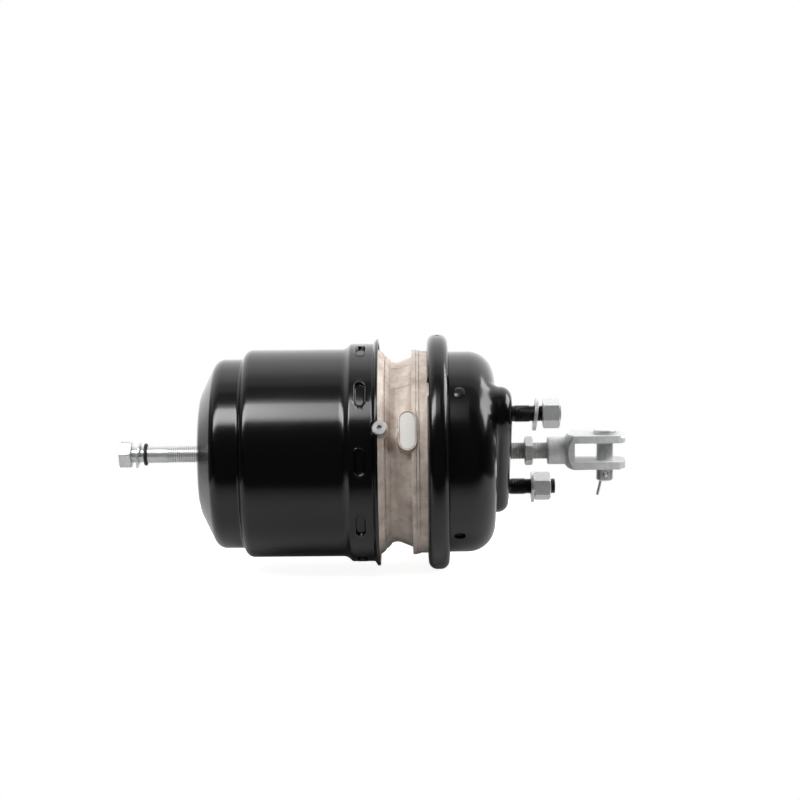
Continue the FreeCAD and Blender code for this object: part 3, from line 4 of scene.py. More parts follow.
import bmesh
import bpy
import numpy as np
from mathutils import Matrix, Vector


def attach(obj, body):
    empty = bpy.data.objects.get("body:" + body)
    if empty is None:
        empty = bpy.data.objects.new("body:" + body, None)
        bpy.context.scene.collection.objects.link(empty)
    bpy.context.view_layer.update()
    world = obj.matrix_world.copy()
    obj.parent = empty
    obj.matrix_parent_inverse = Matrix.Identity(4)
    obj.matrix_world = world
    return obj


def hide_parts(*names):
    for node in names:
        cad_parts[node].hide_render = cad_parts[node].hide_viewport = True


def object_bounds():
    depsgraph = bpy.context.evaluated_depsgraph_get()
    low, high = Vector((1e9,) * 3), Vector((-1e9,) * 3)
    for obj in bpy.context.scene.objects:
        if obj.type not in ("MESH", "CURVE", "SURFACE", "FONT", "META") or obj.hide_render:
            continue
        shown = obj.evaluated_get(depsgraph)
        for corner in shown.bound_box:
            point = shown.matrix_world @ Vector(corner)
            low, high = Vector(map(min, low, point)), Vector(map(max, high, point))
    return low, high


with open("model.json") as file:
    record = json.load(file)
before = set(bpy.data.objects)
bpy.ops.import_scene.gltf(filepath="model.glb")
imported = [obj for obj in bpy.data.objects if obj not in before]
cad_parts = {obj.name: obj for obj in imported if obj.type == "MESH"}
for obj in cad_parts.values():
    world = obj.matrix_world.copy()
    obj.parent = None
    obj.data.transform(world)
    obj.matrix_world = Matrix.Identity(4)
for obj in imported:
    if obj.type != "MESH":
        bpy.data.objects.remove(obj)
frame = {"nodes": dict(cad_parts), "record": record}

# Dressed air brake chamber. Sizes of the pieces below are in millimetres and degrees, as in the part's
# source: X runs along the push rod, r is the distance from that axis, and a turn is counted from +Z
# towards -Y.

cadLow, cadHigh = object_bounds()
print("frame loaded, CAD box", [round(v, 4) for v in cadLow], [round(v, 4) for v in cadHigh])


# nodes and colours

# sRGB hex to linear: divide by 12.92 below 0.04045, else the 2.4 power curve.
def linearFromHex(code):
    parts = [int(code[i:i + 2], 16) / 255 for i in (1, 3, 5)]
    line = [c / 12.92 if c <= 0.04045 else ((c + 0.055) / 1.055) ** 2.4 for c in parts]
    return (*line, 1.0)


# Settings are the node's own properties, values go on its sockets, links join other sockets to it, and
# stops are the places and colours of a colour ramp.
def addNode(tree, kind, settings=None, values=None, links=None, stops=()):
    node = tree.nodes.new(kind)
    for key, value in (settings or {}).items():
        setattr(node, key, value)
    for key, value in (values or {}).items():
        node.inputs[key].default_value = value
    for key, source in (links or {}).items():
        tree.links.new(source, node.inputs[key])
    if stops:
        elements = node.color_ramp.elements
        while len(elements) < len(stops):
            elements.new(0.5)
        for element, (at, colour) in zip(elements, stops):
            element.position = at
            element.color = colour
    return node


# Ramp stops in grey, from pairs of a place and a level.
def greyStops(stops):
    return [(at, (level, level, level, 1)) for at, level in stops]


def startTree(owner):
    owner.use_nodes = True
    owner.node_tree.nodes.clear()
    return owner.node_tree


# A material, its tree and shader, and the object coordinates that its textures follow.
def newMaterial(name, values):
    material = bpy.data.materials.new(name)
    tree = startTree(material)
    principled = addNode(tree, "ShaderNodeBsdfPrincipled", values=values)
    addNode(tree, "ShaderNodeOutputMaterial", links={"Surface": principled.outputs[0]})
    place = addNode(tree, "ShaderNodeTexCoord").outputs["Object"]
    return material, tree, principled, place


# Stoved black enamel sprayed on drawn steel: a deep gloss with faint orange peel a few millimetres
# across and hazier patches where it was handled.
enamel = {
    "black": "#050506", "polished": 0.13, "hazy": 0.21, "hazeMm": 45.0, "peelMm": 5.0,
    "peelStrength": 0.5, "peelHeightMm": 0.03,
}


def blackEnamel():
    material, tree, principled, place = newMaterial("blackEnamel", {
        "Base Color": linearFromHex(enamel["black"]), "IOR": 1.5,
    })
    haze = addNode(
        tree, "ShaderNodeTexNoise", values={"Scale": 1000 / enamel["hazeMm"], "Detail": 3.0},
        links={"Vector": place},
    )
    rough = addNode(
        tree, "ShaderNodeMapRange", values={"To Min": enamel["polished"], "To Max": enamel["hazy"]},
        links={"Value": haze.outputs[0]},
    )
    peel = addNode(
        tree, "ShaderNodeTexNoise", values={"Scale": 1000 / enamel["peelMm"], "Detail": 1.0},
        links={"Vector": place},
    )
    bump = addNode(
        tree, "ShaderNodeBump",
        values={"Strength": enamel["peelStrength"], "Distance": enamel["peelHeightMm"] / 1000},
        links={"Height": peel.outputs[0]},
    )
    tree.links.new(rough.outputs[0], principled.inputs["Roughness"])
    tree.links.new(bump.outputs[0], principled.inputs["Normal"])
    return material


# Sand-cast aluminium: matte and warm, with grain of about a millimetre, darker pits and cloudy patches
# where the skin of the casting varies.
cast = {
    "light": "#dcd2c8", "mid": "#c8bbb0", "shade": "#ad9c90", "pit": "#76675d",
    "cloudMm": 14.0, "cloudStops": [(0.3, "shade"), (0.5, "mid"), (0.7, "light")],
    "pitMm": 2.6, "pitRange": (0.63, 0.74), "pitCover": 0.8,
    "grainMm": 1.2, "grainHeightMm": 0.1, "grainStrength": 0.6, "metallic": 0.3, "roughness": 0.52,
}


def castAluminium():
    material, tree, principled, place = newMaterial("castAluminium", {
        "Metallic": cast["metallic"], "Roughness": cast["roughness"],
    })
    clouds, pits, grain = (
        addNode(
            tree, "ShaderNodeTexNoise",
            values={"Scale": 1000 / cast[sizeMm], "Detail": detail, "Roughness": rough},
            links={"Vector": place},
        ).outputs[0]
        for sizeMm, detail, rough in (("cloudMm", 6.0, 0.62), ("pitMm", 4.0, 0.7), ("grainMm", 3.0, 0.6))
    )
    base = addNode(
        tree, "ShaderNodeValToRGB", links={"Fac": clouds},
        stops=[(at, linearFromHex(cast[shade])) for at, shade in cast["cloudStops"]],
    )
    pitStart, pitFull = cast["pitRange"]
    pitted = addNode(
        tree, "ShaderNodeMapRange",
        values={"From Min": pitStart, "From Max": pitFull, "To Max": cast["pitCover"]},
        links={"Value": pits},
    )
    mixed = addNode(
        tree, "ShaderNodeMix", settings={"data_type": "RGBA"}, values={"B": linearFromHex(cast["pit"])},
        links={"Factor": pitted.outputs[0], "A": base.outputs[0]},
    )
    fine = addNode(
        tree, "ShaderNodeBump",
        values={"Strength": cast["grainStrength"], "Distance": cast["grainHeightMm"] / 1000},
        links={"Height": grain},
    )
    tree.links.new(mixed.outputs["Result"], principled.inputs["Base Color"])
    tree.links.new(fine.outputs[0], principled.inputs["Normal"])
    return material


# Two close shades that drift over a few grains, roughness that drifts with them, and a fine grain.
drifting = {
    "grains": 4, "stops": (0.35, 0.65), "smoother": 0.06, "rougher": 0.08, "grainStrength": 0.5,
}


def mottled(name, light, dark, roughness, metallic=0.0, grainMm=2.5, heightMm=0.02):
    material, tree, principled, place = newMaterial(name, {"Metallic": metallic})
    drift = addNode(
        tree, "ShaderNodeTexNoise",
        values={"Scale": 1000 / (grainMm * drifting["grains"]), "Detail": 5.0, "Roughness": 0.65},
        links={"Vector": place},
    )
    base = addNode(
        tree, "ShaderNodeValToRGB", links={"Fac": drift.outputs[0]},
        stops=list(zip(drifting["stops"], (linearFromHex(dark), linearFromHex(light)))),
    )
    rough = addNode(
        tree, "ShaderNodeMapRange",
        values={"To Min": roughness - drifting["smoother"], "To Max": roughness + drifting["rougher"]},
        links={"Value": drift.outputs[0]},
    )
    grain = addNode(
        tree, "ShaderNodeTexNoise", values={"Scale": 1000 / grainMm, "Detail": 3.0},
        links={"Vector": place},
    )
    bump = addNode(
        tree, "ShaderNodeBump",
        values={"Strength": drifting["grainStrength"], "Distance": heightMm / 1000},
        links={"Height": grain.outputs[0]},
    )
    tree.links.new(base.outputs[0], principled.inputs["Base Color"])
    tree.links.new(rough.outputs[0], principled.inputs["Roughness"])
    tree.links.new(bump.outputs[0], principled.inputs["Normal"])
    return material


finishes = {
    "black_enamel": blackEnamel(),
    "cast_aluminium": castAluminium(),
    # bright zinc plate on turned steel
    "zinc_plate": mottled("brightZincPlate", "#d4d5d5", "#c9caca", 0.32, metallic=0.7, grainMm=1.0),
    # matte zinc plate on a forging, rough from the die
    "zinc_clevis": mottled(
        "matteZincForging", "#cacbcb", "#babbbb", 0.5, metallic=0.15, grainMm=1.2, heightMm=0.05,
    ),
    # dull zinc on a rolled thread
    "rod_steel": mottled("dullZincThread", "#bdbbb8", "#a3a19e", 0.4, metallic=0.5, grainMm=1.5),
    # blacked steel of the studs, lightly oiled
    "dark_stud": mottled("blackedSteel", "#1c1c1d", "#0c0c0d", 0.3, grainMm=2.0),
    # epoxy coat on spring wire
    "spring_steel": mottled("coatedSpringWire", "#2a2a2c", "#161617", 0.4, grainMm=3.0, heightMm=0.03),
    # moulded rubber, dull
    "rubber_black": mottled("mouldedRubber", "#1b1b1b", "#101010", 0.55, grainMm=1.2, heightMm=0.03),
    # ivory acetal of guide rings and bushes
    "guide_plastic": mottled("acetal", "#d8d4c6", "#cac6b6", 0.4, grainMm=6.0, heightMm=0.01),
    # black nylon of the vent plugs, smooth from the mould
    "vent_plastic": mottled("blackNylon", "#151516", "#0a0a0a", 0.24, grainMm=5.0),
    # white plate of the label, satin
    "label_white": mottled("satinWhitePlate", "#e8e6e1", "#dcd9d3", 0.35, grainMm=12.0, heightMm=0.01),
    # turned brass of the bush
    "brass_bush": mottled("turnedBrass", "#cfa75a", "#b08a44", 0.3, metallic=0.95),
}
print("finishes", len(finishes))

nodeSlot = {part["node"]: part["material_slot"] for part in frame["record"]["subparts"]}
nodeBody = {
    node: body
    for body, members in frame["record"]["behaviour"]["bodies"].items()
    for node in members
}
for node, thing in frame["nodes"].items():
    thing.data.materials.clear()
    thing.data.materials.append(finishes[nodeSlot[node]])


# shaping

# The two gaps are in metres, and the last two values are in millimetres.
shaping = {
    "cadGap": 2e-6, "surfaceGap": 1e-7, "smoothAngle": 30, "bevelSegments": 2, "shaftTolerance": 0.06,
    "rootGap": 0.05,
}


# Makes the mesh an object with the finish and the body of the CAD node that it stands for.
def addPiece(name, mesh, node):
    mesh.shade_smooth()
    mesh.set_sharp_from_angle(angle=math.radians(shaping["smoothAngle"]))
    mesh.materials.clear()
    mesh.materials.append(finishes[nodeSlot[node]])
    piece = bpy.data.objects.new(name, mesh)
    bpy.context.scene.collection.objects.link(piece)
    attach(piece, nodeBody[node])
    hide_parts(node)
    return piece


# Merges points that meet, and turns every face outwards.
def tidyMesh(mesh, gap, turnFaces=True):
    build = bmesh.new()
    build.from_mesh(mesh)
    bmesh.ops.remove_doubles(build, verts=build.verts, dist=gap)
    if turnFaces:
        bmesh.ops.recalc_face_normals(build, faces=build.faces)
    build.to_mesh(mesh)
    build.free()


# One mesh from closed surfaces, each a pair of points in millimetres and faces.
def surfaceMesh(name, surfaces):
    points = np.concatenate([surface[0].reshape(-1, 3) for surface in surfaces]) / 1000
    starts = np.cumsum([0] + [surface[0].size // 3 for surface in surfaces])
    faces = np.concatenate([surface[1] + start for surface, start in zip(surfaces, starts)])
    mesh = bpy.data.meshes.new(name)
    mesh.from_pydata(points.tolist(), [], faces.tolist())
    tidyMesh(mesh, shaping["surfaceGap"])
    return mesh


# A CAD node's own mesh with its loose triangles joined, so that it can be shaded smooth; flat faces keep
# their flat shading, and edges sharper than the smooth angle may be rounded. Shafts, each (y, z, radius,
# depth) in millimetres, are drawn in to just below the root of a thread. What lies within a reach of a
# twist's line, (y, z, reach, degrees), is rotated about it. Surfaces are joined to the mesh.
def mergedCopy(node, bevelMm=0.0, shafts=(), surfaces=(), twists=()):
    words = node.split("_")
    name = words[0] + "".join(word.capitalize() for word in words[1:])
    mesh = frame["nodes"][node].data.copy()
    mesh.name = name
    tidyMesh(mesh, shaping["cadGap"], turnFaces=False)
    points = np.empty(len(mesh.vertices) * 3)
    mesh.vertices.foreach_get("co", points)
    points = points.reshape(-1, 3)
    for y, z, radius, depth in shafts:
        offset = points[:, 1:] - np.array([y, z]) / 1000
        onShaft = np.abs(np.linalg.norm(offset, axis=1) * 1000 - radius) < shaping["shaftTolerance"]
        points[onShaft, 1:] -= offset[onShaft] * (depth + shaping["rootGap"]) / radius
    for y, z, reach, degrees in twists:
        place = np.array([y, z]) / 1000
        near = np.linalg.norm(points[:, 1:] - place, axis=1) * 1000 < reach
        cos, sin = math.cos(math.radians(degrees)), math.sin(math.radians(degrees))
        points[near, 1:] = place + (points[near, 1:] - place) @ np.array([[cos, sin], [-sin, cos]])
    mesh.vertices.foreach_set("co", points.ravel())
    if surfaces:
        join = bmesh.new()
        join.from_mesh(mesh)
        added = surfaceMesh(name + "Added", surfaces)
        join.from_mesh(added)
        join.to_mesh(mesh)
        join.free()
        bpy.data.meshes.remove(added)
    piece = addPiece(name, mesh, node)
    if bevelMm:
        bevel = piece.modifiers.new("edges", "BEVEL")
        bevel.width = bevelMm / 1000
        bevel.segments = shaping["bevelSegments"]
        bevel.limit_method = "ANGLE"
        bevel.angle_limit = math.radians(shaping["smoothAngle"])
    weighted = piece.modifiers.new("flatFaces", "WEIGHTED_NORMAL")
    weighted.keep_sharp = True


# Faces of a grid of points, counted along its columns; a side that wraps meets its other end.
def gridFaces(rows, columns, wrapRows=True, wrapColumns=True):
    lastRow, lastColumn = rows - (not wrapRows), columns - (not wrapColumns)
    i, j = np.meshgrid(np.arange(lastRow), np.arange(lastColumn), indexing="ij")
    below, beside = (i + 1) % rows, (j + 1) % columns
    corners = [i * columns + j, i * columns + beside, below * columns + beside, below * columns + j]
    return np.stack(corners, axis=-1).reshape(-1, 4)


# Turns outline points about X: y = -r sin(turn), z = r cos(turn).
def turnedPoints(x, r, turns):
    x, r, angle = np.broadcast_arrays(x, r, np.radians(turns))
    return np.stack([x, -r * np.sin(angle), r * np.cos(angle)], axis=-1)


# An outline through corners (x, r). A corner with a third value becomes an arc of that radius, with a
# point every arcStep degrees. A straight run gets points near both ends, so that it stays flat in
# shading, and every longStep between.
def roundedOutline(corners, closed=True, arcStep=7.5, longStep=9.0, hold=0.4):
    arcs = []
    for i, corner in enumerate(corners):
        here = np.array(corner[:2], float)
        if len(corner) < 3:
            arcs.append(here[None])
            continue
        back = np.array(corners[i - 1][:2]) - here
        ahead = np.array(corners[(i + 1) % len(corners)][:2]) - here
        back, ahead = back / np.linalg.norm(back), ahead / np.linalg.norm(ahead)
        half = math.acos(np.clip(back @ ahead, -1, 1)) / 2
        middle = here + (back + ahead) / np.linalg.norm(back + ahead) * corner[2] / math.sin(half)
        first = here + back * corner[2] / math.tan(half) - middle
        sweep = math.copysign(math.pi - 2 * half, back[1] * ahead[0] - back[0] * ahead[1])
        steps = max(2, math.ceil(abs(sweep) / math.radians(arcStep)))
        angle = sweep * np.linspace(0, 1, steps + 1)[:, None]
        arcs.append(middle + np.cos(angle) * first + np.sin(angle) * np.array([-first[1], first[0]]))
    runs = []
    for arc, following in zip(arcs, arcs[1:] + (arcs[:1] if closed else [])):
        runs.append(arc)
        length = np.linalg.norm(following[0] - arc[-1])
        if length > 3 * hold:
            places = np.linspace(hold, length - hold, max(2, math.ceil(length / longStep)))
            runs.append(arc[-1] + (following[0] - arc[-1]) * places[:, None] / length)
    return np.concatenate(runs if closed else runs + arcs[-1:])


# Turns round the axis: coarse everywhere, with fine ones from inner to outer away from each place and a
# few between them.
def unevenTurns(places, inner, outer, fine, coarse):
    turns = np.arange(0, 360, coarse)
    offsets = np.arange(inner, outer + fine / 2, fine)
    offsets = np.concatenate([-offsets, offsets, np.linspace(-inner, inner, max(2, round(inner)))])
    for place in places:
        away = np.abs((turns - place + 180) % 360 - 180)
        turns = np.concatenate([turns[away > outer + fine], (place + offsets) % 360])
    return np.unique(np.round(turns, 5))


# 0 below 0, 1 above 1, and 3v^2 - 2v^3 between.
def smoothStep(value):
    value = np.clip(value, 0, 1)
    return value * value * (3 - 2 * value)


# Spring can: shallow crown, cone, two diameters, lock pockets pressed into the skirt, and a notch in the
# flared rim for the lock screw.
can = {
    "wall": 3.0, "crownWall": 1.0, "boreRadius": 8.6, "boreRound": 0.4, "crownRadius": 900.0,
    "crownRows": (16, 24, 32, 40, 48), "crownEdge": 56.0, "crownEdgeRound": 25.0, "coneX": -289.9,
    "kneeX": -273.4, "kneeRound": 11.0, "rearRadius": 88.9, "stepX": -249.0, "stepFoot": 0.3,
    "stepFootRound": 3.0, "stepLean": 2.0, "stepRound": 8.6, "frontRadius": 97.5, "frontEnd": -154.0,
    "frontBend": 9.0, "bend": 2.5, "skirtRadius": 102.4, "skirtStart": -148.6, "skirtEnd": -127.8,
    "flareX": -125.0, "flareBend": 1.0, "rimRadius": 106.6, "rimX": -122.6, "rimRound": 0.5,
    "pocketX": -139.0, "pocketTurn": 12.3, "pockets": 10, "pocketWidth": 8.7, "pocketLength": 24.0,
    "pocketDepth": 2.3, "pocketWall": 0.9, "pocketStart": 0.15, "pocketLip": 0.4, "lipWidth": 0.75,
    "notchX": -120.8, "notchTurn": 67.5, "notchRadius": 7.2, "notchHalfTurn": 4.5, "notchStep": 0.3,
    "notchFold": 2.0, "gridMm": 0.45, "coarseStep": 2.0,
}


# The outline is turned about X. Each pocket lowers the skirt where the distance from a stadium is below
# zero, over a short wall, with a low lip round it. At the notch the rim's end is drawn back to a circle,
# x = notch - sqrt(R^2 - v^2), and what lies between the fold and the rim is squeezed with it.
def springCan():
    c = can
    wall = c["wall"]
    centreX = c["coneX"] + math.sqrt(c["crownRadius"] ** 2 - c["crownEdge"] ** 2)
    coneRun, coneRise = c["kneeX"] - c["coneX"], c["rearRadius"] - c["crownEdge"]
    slant = math.hypot(coneRun, coneRise)
    innerEdge = c["crownEdge"] - wall * coneRun / (slant + coneRise)

    def crown(r, inset=0.0):
        return centreX - math.sqrt((c["crownRadius"] - inset) ** 2 - r ** 2)

    rowReach = c["pocketWidth"] / 2 + 1.25
    skirtRows = np.arange(c["pocketX"] - rowReach, c["pocketX"] + rowReach + 0.2, c["gridMm"])
    outline = roundedOutline([
        (crown(c["boreRadius"]), c["boreRadius"], c["boreRound"]),
        *[(crown(r), r) for r in c["crownRows"]],
        (c["coneX"], c["crownEdge"], c["crownEdgeRound"]),
        (c["kneeX"], c["rearRadius"], c["kneeRound"]),
        (c["stepX"] - c["stepFoot"], c["rearRadius"], c["stepFootRound"]),
        (c["stepX"] + c["stepLean"], c["frontRadius"], c["stepRound"]),
        (c["frontEnd"], c["frontRadius"], c["frontBend"]),
        (c["skirtStart"], c["skirtRadius"], c["bend"]),
        *[(x, c["skirtRadius"]) for x in skirtRows],
        (c["skirtEnd"], c["skirtRadius"], c["flareBend"]),
        (c["flareX"], c["rimRadius"], c["flareBend"]),
        (c["rimX"], c["rimRadius"], c["rimRound"]),
        (c["rimX"], c["rimRadius"] - wall, c["rimRound"]),
        (c["flareX"], c["rimRadius"] - wall),
        (c["skirtEnd"], c["skirtRadius"] - wall),
        (c["skirtStart"], c["skirtRadius"] - wall),
        (c["frontEnd"], c["frontRadius"] - wall),
        (c["stepX"] + c["stepRound"], c["frontRadius"] - wall),
        (c["stepX"] + wall, c["frontRadius"] - c["stepRound"]),
        (c["stepX"] + wall, c["rearRadius"] - wall),
        (c["kneeX"] + wall * coneRise / (slant + coneRun), c["rearRadius"] - wall),
        (crown(innerEdge, c["crownWall"]), innerEdge),
        (crown(c["boreRadius"], c["crownWall"]), c["boreRadius"]),
    ], longStep=14.0)

    pitch = 360 / c["pockets"]
    places = c["pocketTurn"] + pitch * np.arange(c["pockets"])
    straight = (c["pocketLength"] - c["pocketWidth"]) / 2
    perDegree = math.radians(1) * c["skirtRadius"]
    turns = unevenTurns(
        places, (straight - 1) / perDegree, (c["pocketLength"] / 2 + 0.6) / perDegree,
        c["gridMm"] / perDegree, c["coarseStep"],
    )
    half, step = c["notchHalfTurn"], c["notchStep"]
    awayFromNotch = np.abs(turns - c["notchTurn"]) > half + 0.1
    notchTurns = c["notchTurn"] + np.arange(-half, half + step / 2, step)
    turns = np.sort(np.concatenate([turns[awayFromNotch], notchTurns]))
    x, r = (np.repeat(outline[:, k:k + 1], len(turns), axis=1) for k in (0, 1))

    away = (turns - c["pocketTurn"] + pitch / 2) % pitch - pitch / 2
    ends = np.maximum(np.abs(away * perDegree) - straight, 0)
    distance = np.hypot(ends, x - c["pocketX"]) - c["pocketWidth"] / 2
    outside = r > c["skirtRadius"] - 0.5
    lip = c["pocketLip"] * smoothStep(1 - np.abs(distance / c["lipWidth"] - 1))
    sunk = c["pocketDepth"] * smoothStep(c["pocketStart"] - distance / c["pocketWall"])
    r = r + (lip - sunk) * outside

    across = np.radians(turns - c["notchTurn"]) * c["rimRadius"]
    reach = np.maximum(c["notchRadius"] ** 2 - across ** 2, 0)
    edge = np.minimum(c["rimX"], c["notchX"] - np.sqrt(reach))
    fold = c["skirtEnd"] - c["notchFold"]
    squeezed = fold + (x - fold) * (edge - fold) / (c["rimX"] - fold)
    flare = [c["skirtEnd"], c["flareX"]], [c["skirtRadius"], c["rimRadius"]]
    nearRim = x > fold
    r = np.where(nearRim, r + np.interp(squeezed, *flare) - np.interp(x, *flare), r)
    return turnedPoints(np.where(nearRim, squeezed, x), r, turns), gridFaces(*x.shape)


# Service housing: drawn cup with a long raised pad across its base, a lip for the clamp and an open
# vent.
cup = {
    "radius": 94.3, "shoulder": 25.5, "back": -15.0, "wall": 3.5, "lipX": -66.2, "lipFoot": 5.6,
    "lipEdge": 4.7, "lipFootRadius": 95.0, "lipRadius": 102.2, "lipEdgeRound": 0.6, "lipRound": 0.4,
    "openingRadius": 13.5, "openingRound": 0.6, "padTurn": 45.0, "padHalfLength": 60.325,
    "padHalfWidth": 25.0, "padRound": 10.5, "padWall": 0.4, "padFoot": 7.0, "ventX": -48.7,
    "ventTurn": 135.0, "ventRadius": 5.0, "ventDepth": 3.2, "ventWall": 0.8, "ventStart": 0.2,
    "ventReach": 6.0, "gridMm": 0.5, "coarseStep": 1.5, "hold": 0.4, "faceRows": 6, "edgeRows": 15,
    "filletRows": 11, "shoulderRows": 30,
}


# How far from the axis a ray at this turn leaves a stadium round the pad's middle line, whose half width
# is grown by d: the straight side is at (w + d) / |sin|, and the round end is at
# c cos + sqrt((w + d)^2 - c^2 sin^2).
def padReach(turns, grown):
    angle = np.radians(turns - cup["padTurn"])
    along, across = np.abs(np.cos(angle)), np.abs(np.sin(angle))
    middle = cup["padHalfLength"]
    wide = cup["padHalfWidth"] + grown
    side = wide / np.maximum(across, 1e-6)
    end = middle * along + np.sqrt(np.maximum(wide ** 2 - (middle * across) ** 2, 0))
    return np.where(side * along < middle, side, end)


# Each half plane through the axis gets its own outline: the pad's face, its round edge and wall at the
# stadium's reach, a fillet, then the cup's flat, its shoulder as a quarter circle, its side and its lip.
def serviceCup():
    h = cup
    perDegree = math.radians(1) * h["radius"]
    fine = h["gridMm"] / perDegree
    turns = unevenTurns([h["ventTurn"]], 0, h["ventReach"] / perDegree, fine, h["coarseStep"])
    flat = h["radius"] - h["shoulder"]
    shoulderX = h["back"] - h["shoulder"]

    def cupAt(r):
        return shoulderX + np.sqrt(h["shoulder"] ** 2 - np.clip(r - flat, 0, h["shoulder"]) ** 2)

    rows = []
    start = h["openingRadius"] + h["openingRound"]
    inside = padReach(turns, -h["padRound"] - h["hold"])
    for part in np.linspace(0, 1, h["faceRows"]):
        rows.append((0 * turns, start + (inside - start) * part))
    for sweep in np.radians(np.linspace(0, 90, h["edgeRows"])):
        drop = h["padRound"] * (1 - math.cos(sweep))
        rows.append((0 * turns - drop, padReach(turns, -h["padRound"] * (1 - math.sin(sweep)))))
    wall = padReach(turns, 0.0)
    fillet = np.minimum(h["padFoot"], -h["padRound"] - cupAt(wall) - h["padWall"])
    foot = cupAt(wall) + fillet
    for part in (0.1, 0.5, 0.9):
        rows.append((-h["padRound"] + (foot + h["padRound"]) * part, wall))
    for sweep in np.radians(np.linspace(0, 90, h["filletRows"])):
        r = padReach(turns, fillet * (1 - math.cos(sweep)))
        rows.append((cupAt(r) + fillet * (1 - math.sin(sweep)), r))
    r = rows[-1][1]
    onShoulder = np.arcsin(np.clip((r - flat) / h["shoulder"], 0, 1))
    begin = np.where(r < flat, r, flat + h["shoulder"] * onShoulder)
    finish = flat + h["shoulder"] * math.pi / 2
    for part in np.linspace(0, 1, h["shoulderRows"] + 1)[1:]:
        length = begin + (finish - begin) * part
        sweep = np.maximum(length - flat, 0) / h["shoulder"]
        r = np.minimum(length, flat) + h["shoulder"] * np.sin(sweep)
        rows.append((h["back"] - h["shoulder"] * (1 - np.cos(sweep)), r))
    innerArc = np.radians((0, 20, 40, 60, 80, 90))
    innerRound = h["shoulder"] - h["wall"]
    ventRows = np.arange(h["ventX"] + h["ventReach"], h["ventX"] - h["ventReach"] - 0.1, -h["gridMm"])
    side = roundedOutline([
        (shoulderX - 2 * h["hold"], h["radius"]),
        *[(x, h["radius"]) for x in ventRows],
        (h["lipX"] + h["lipFoot"], h["radius"]),
        (h["lipX"] + h["lipFoot"], h["lipFootRadius"]),
        (h["lipX"] + h["lipEdge"], h["lipRadius"], h["lipEdgeRound"]),
        (h["lipX"], h["lipRadius"], h["lipRound"]),
        (h["lipX"], h["radius"] - h["wall"]),
        *[(shoulderX + innerRound * math.sin(a), flat + innerRound * math.cos(a)) for a in innerArc],
        (h["back"] - h["wall"], h["openingRadius"]),
        (-h["openingRound"], h["openingRadius"]),
        (-0.3 * h["openingRound"], h["openingRadius"] + 0.3 * h["openingRound"]),
    ], closed=False)
    rows += [(np.full_like(turns, x), np.full_like(turns, r)) for x, r in side]
    x, r = (np.stack([row[k] for row in rows]) for k in (0, 1))
    across = np.radians(turns - h["ventTurn"]) * h["radius"]
    distance = np.hypot(across, x - h["ventX"]) - h["ventRadius"]
    outside = r > h["radius"] - 0.5
    r = r - h["ventDepth"] * smoothStep(h["ventStart"] - distance / h["ventWall"]) * outside
    return turnedPoints(x, r, turns), gridFaces(*x.shape)


addPiece("springCan", surfaceMesh("springCan", [springCan()]), "spring_housing")
addPiece("serviceCup", surfaceMesh("serviceCup", [serviceCup()]), "service_housing")
print("shells built")


# Centre flange: turned edges of the casting, a raised frame round the label, and ridges from the mould,
# each (turn, half width, height).
flange = {
    "mouth": [(-124.0, 97.4), (-118.0, 93.0, 0.7), (-117.0, 91.6, 0.3), (-117.0, 89.0), (-124.0, 94.0)],
    "flank": [(-116.2, 88.6), (-116.2, 90.9, 0.3), (-112.2, 86.9), (-111.2, 84.6)],
    "bead": [(-92.0, 94.6), (-91.9, 96.3, 0.5), (-88.0, 96.3, 0.5), (-87.6, 95.2)],
    "labelX": -95.7, "labelTurn": 68.0, "labelReach": 96.0, "labelWidth": 13.4, "labelLength": 33.0,
    "frameGap": 0.5, "frameWidth": 1.4, "frameHeight": 0.9, "frameFoot": -2.0, "frameRound": 0.5,
    "waist": [(-117.0, 89.6), (-110.8, 84.6, 6), (-104.2, 84.5, 6), (-91.6, 89.8)],
    "ridges": [(14.0, 0.55, 0.6), (36.0, 0.4, 0.35), (194.0, 0.55, 0.6)],
    "ridgeSection": [(-1, -0.7), (0, 1), (1, -0.7)],
}


# A closed outline in the half plane, turned all the way about X.
def turnedRing(corners):
    outline = roundedOutline(corners, arcStep=15, longStep=3.0, hold=0.2)
    turns = np.arange(0, 360, 1.5)
    points = turnedPoints(outline[:, :1], outline[:, 1:], turns)
    return points, gridFaces(len(outline), len(turns))


# A ridge left by the joint of the mould: a triangle of (offset, rise) carried along the waist's outline
# at one turn, so that a point is at r + rise and at turn + offset / r. It is flat at both ends.
def mouldRidge(turn, halfWidth, height):
    outline = roundedOutline(flange["waist"], closed=False, longStep=1.5)
    size = np.ones(len(outline))
    size[[0, -1]] = 0
    offset, rise = (np.array(row)[:, None] * size for row in zip(*flange["ridgeSection"]))
    r = outline[:, 1] + rise * height
    turns = turn + np.degrees(offset * halfWidth / r)
    return turnedPoints(outline[:, 0], r, turns), gridFaces(*r.shape, wrapColumns=False)


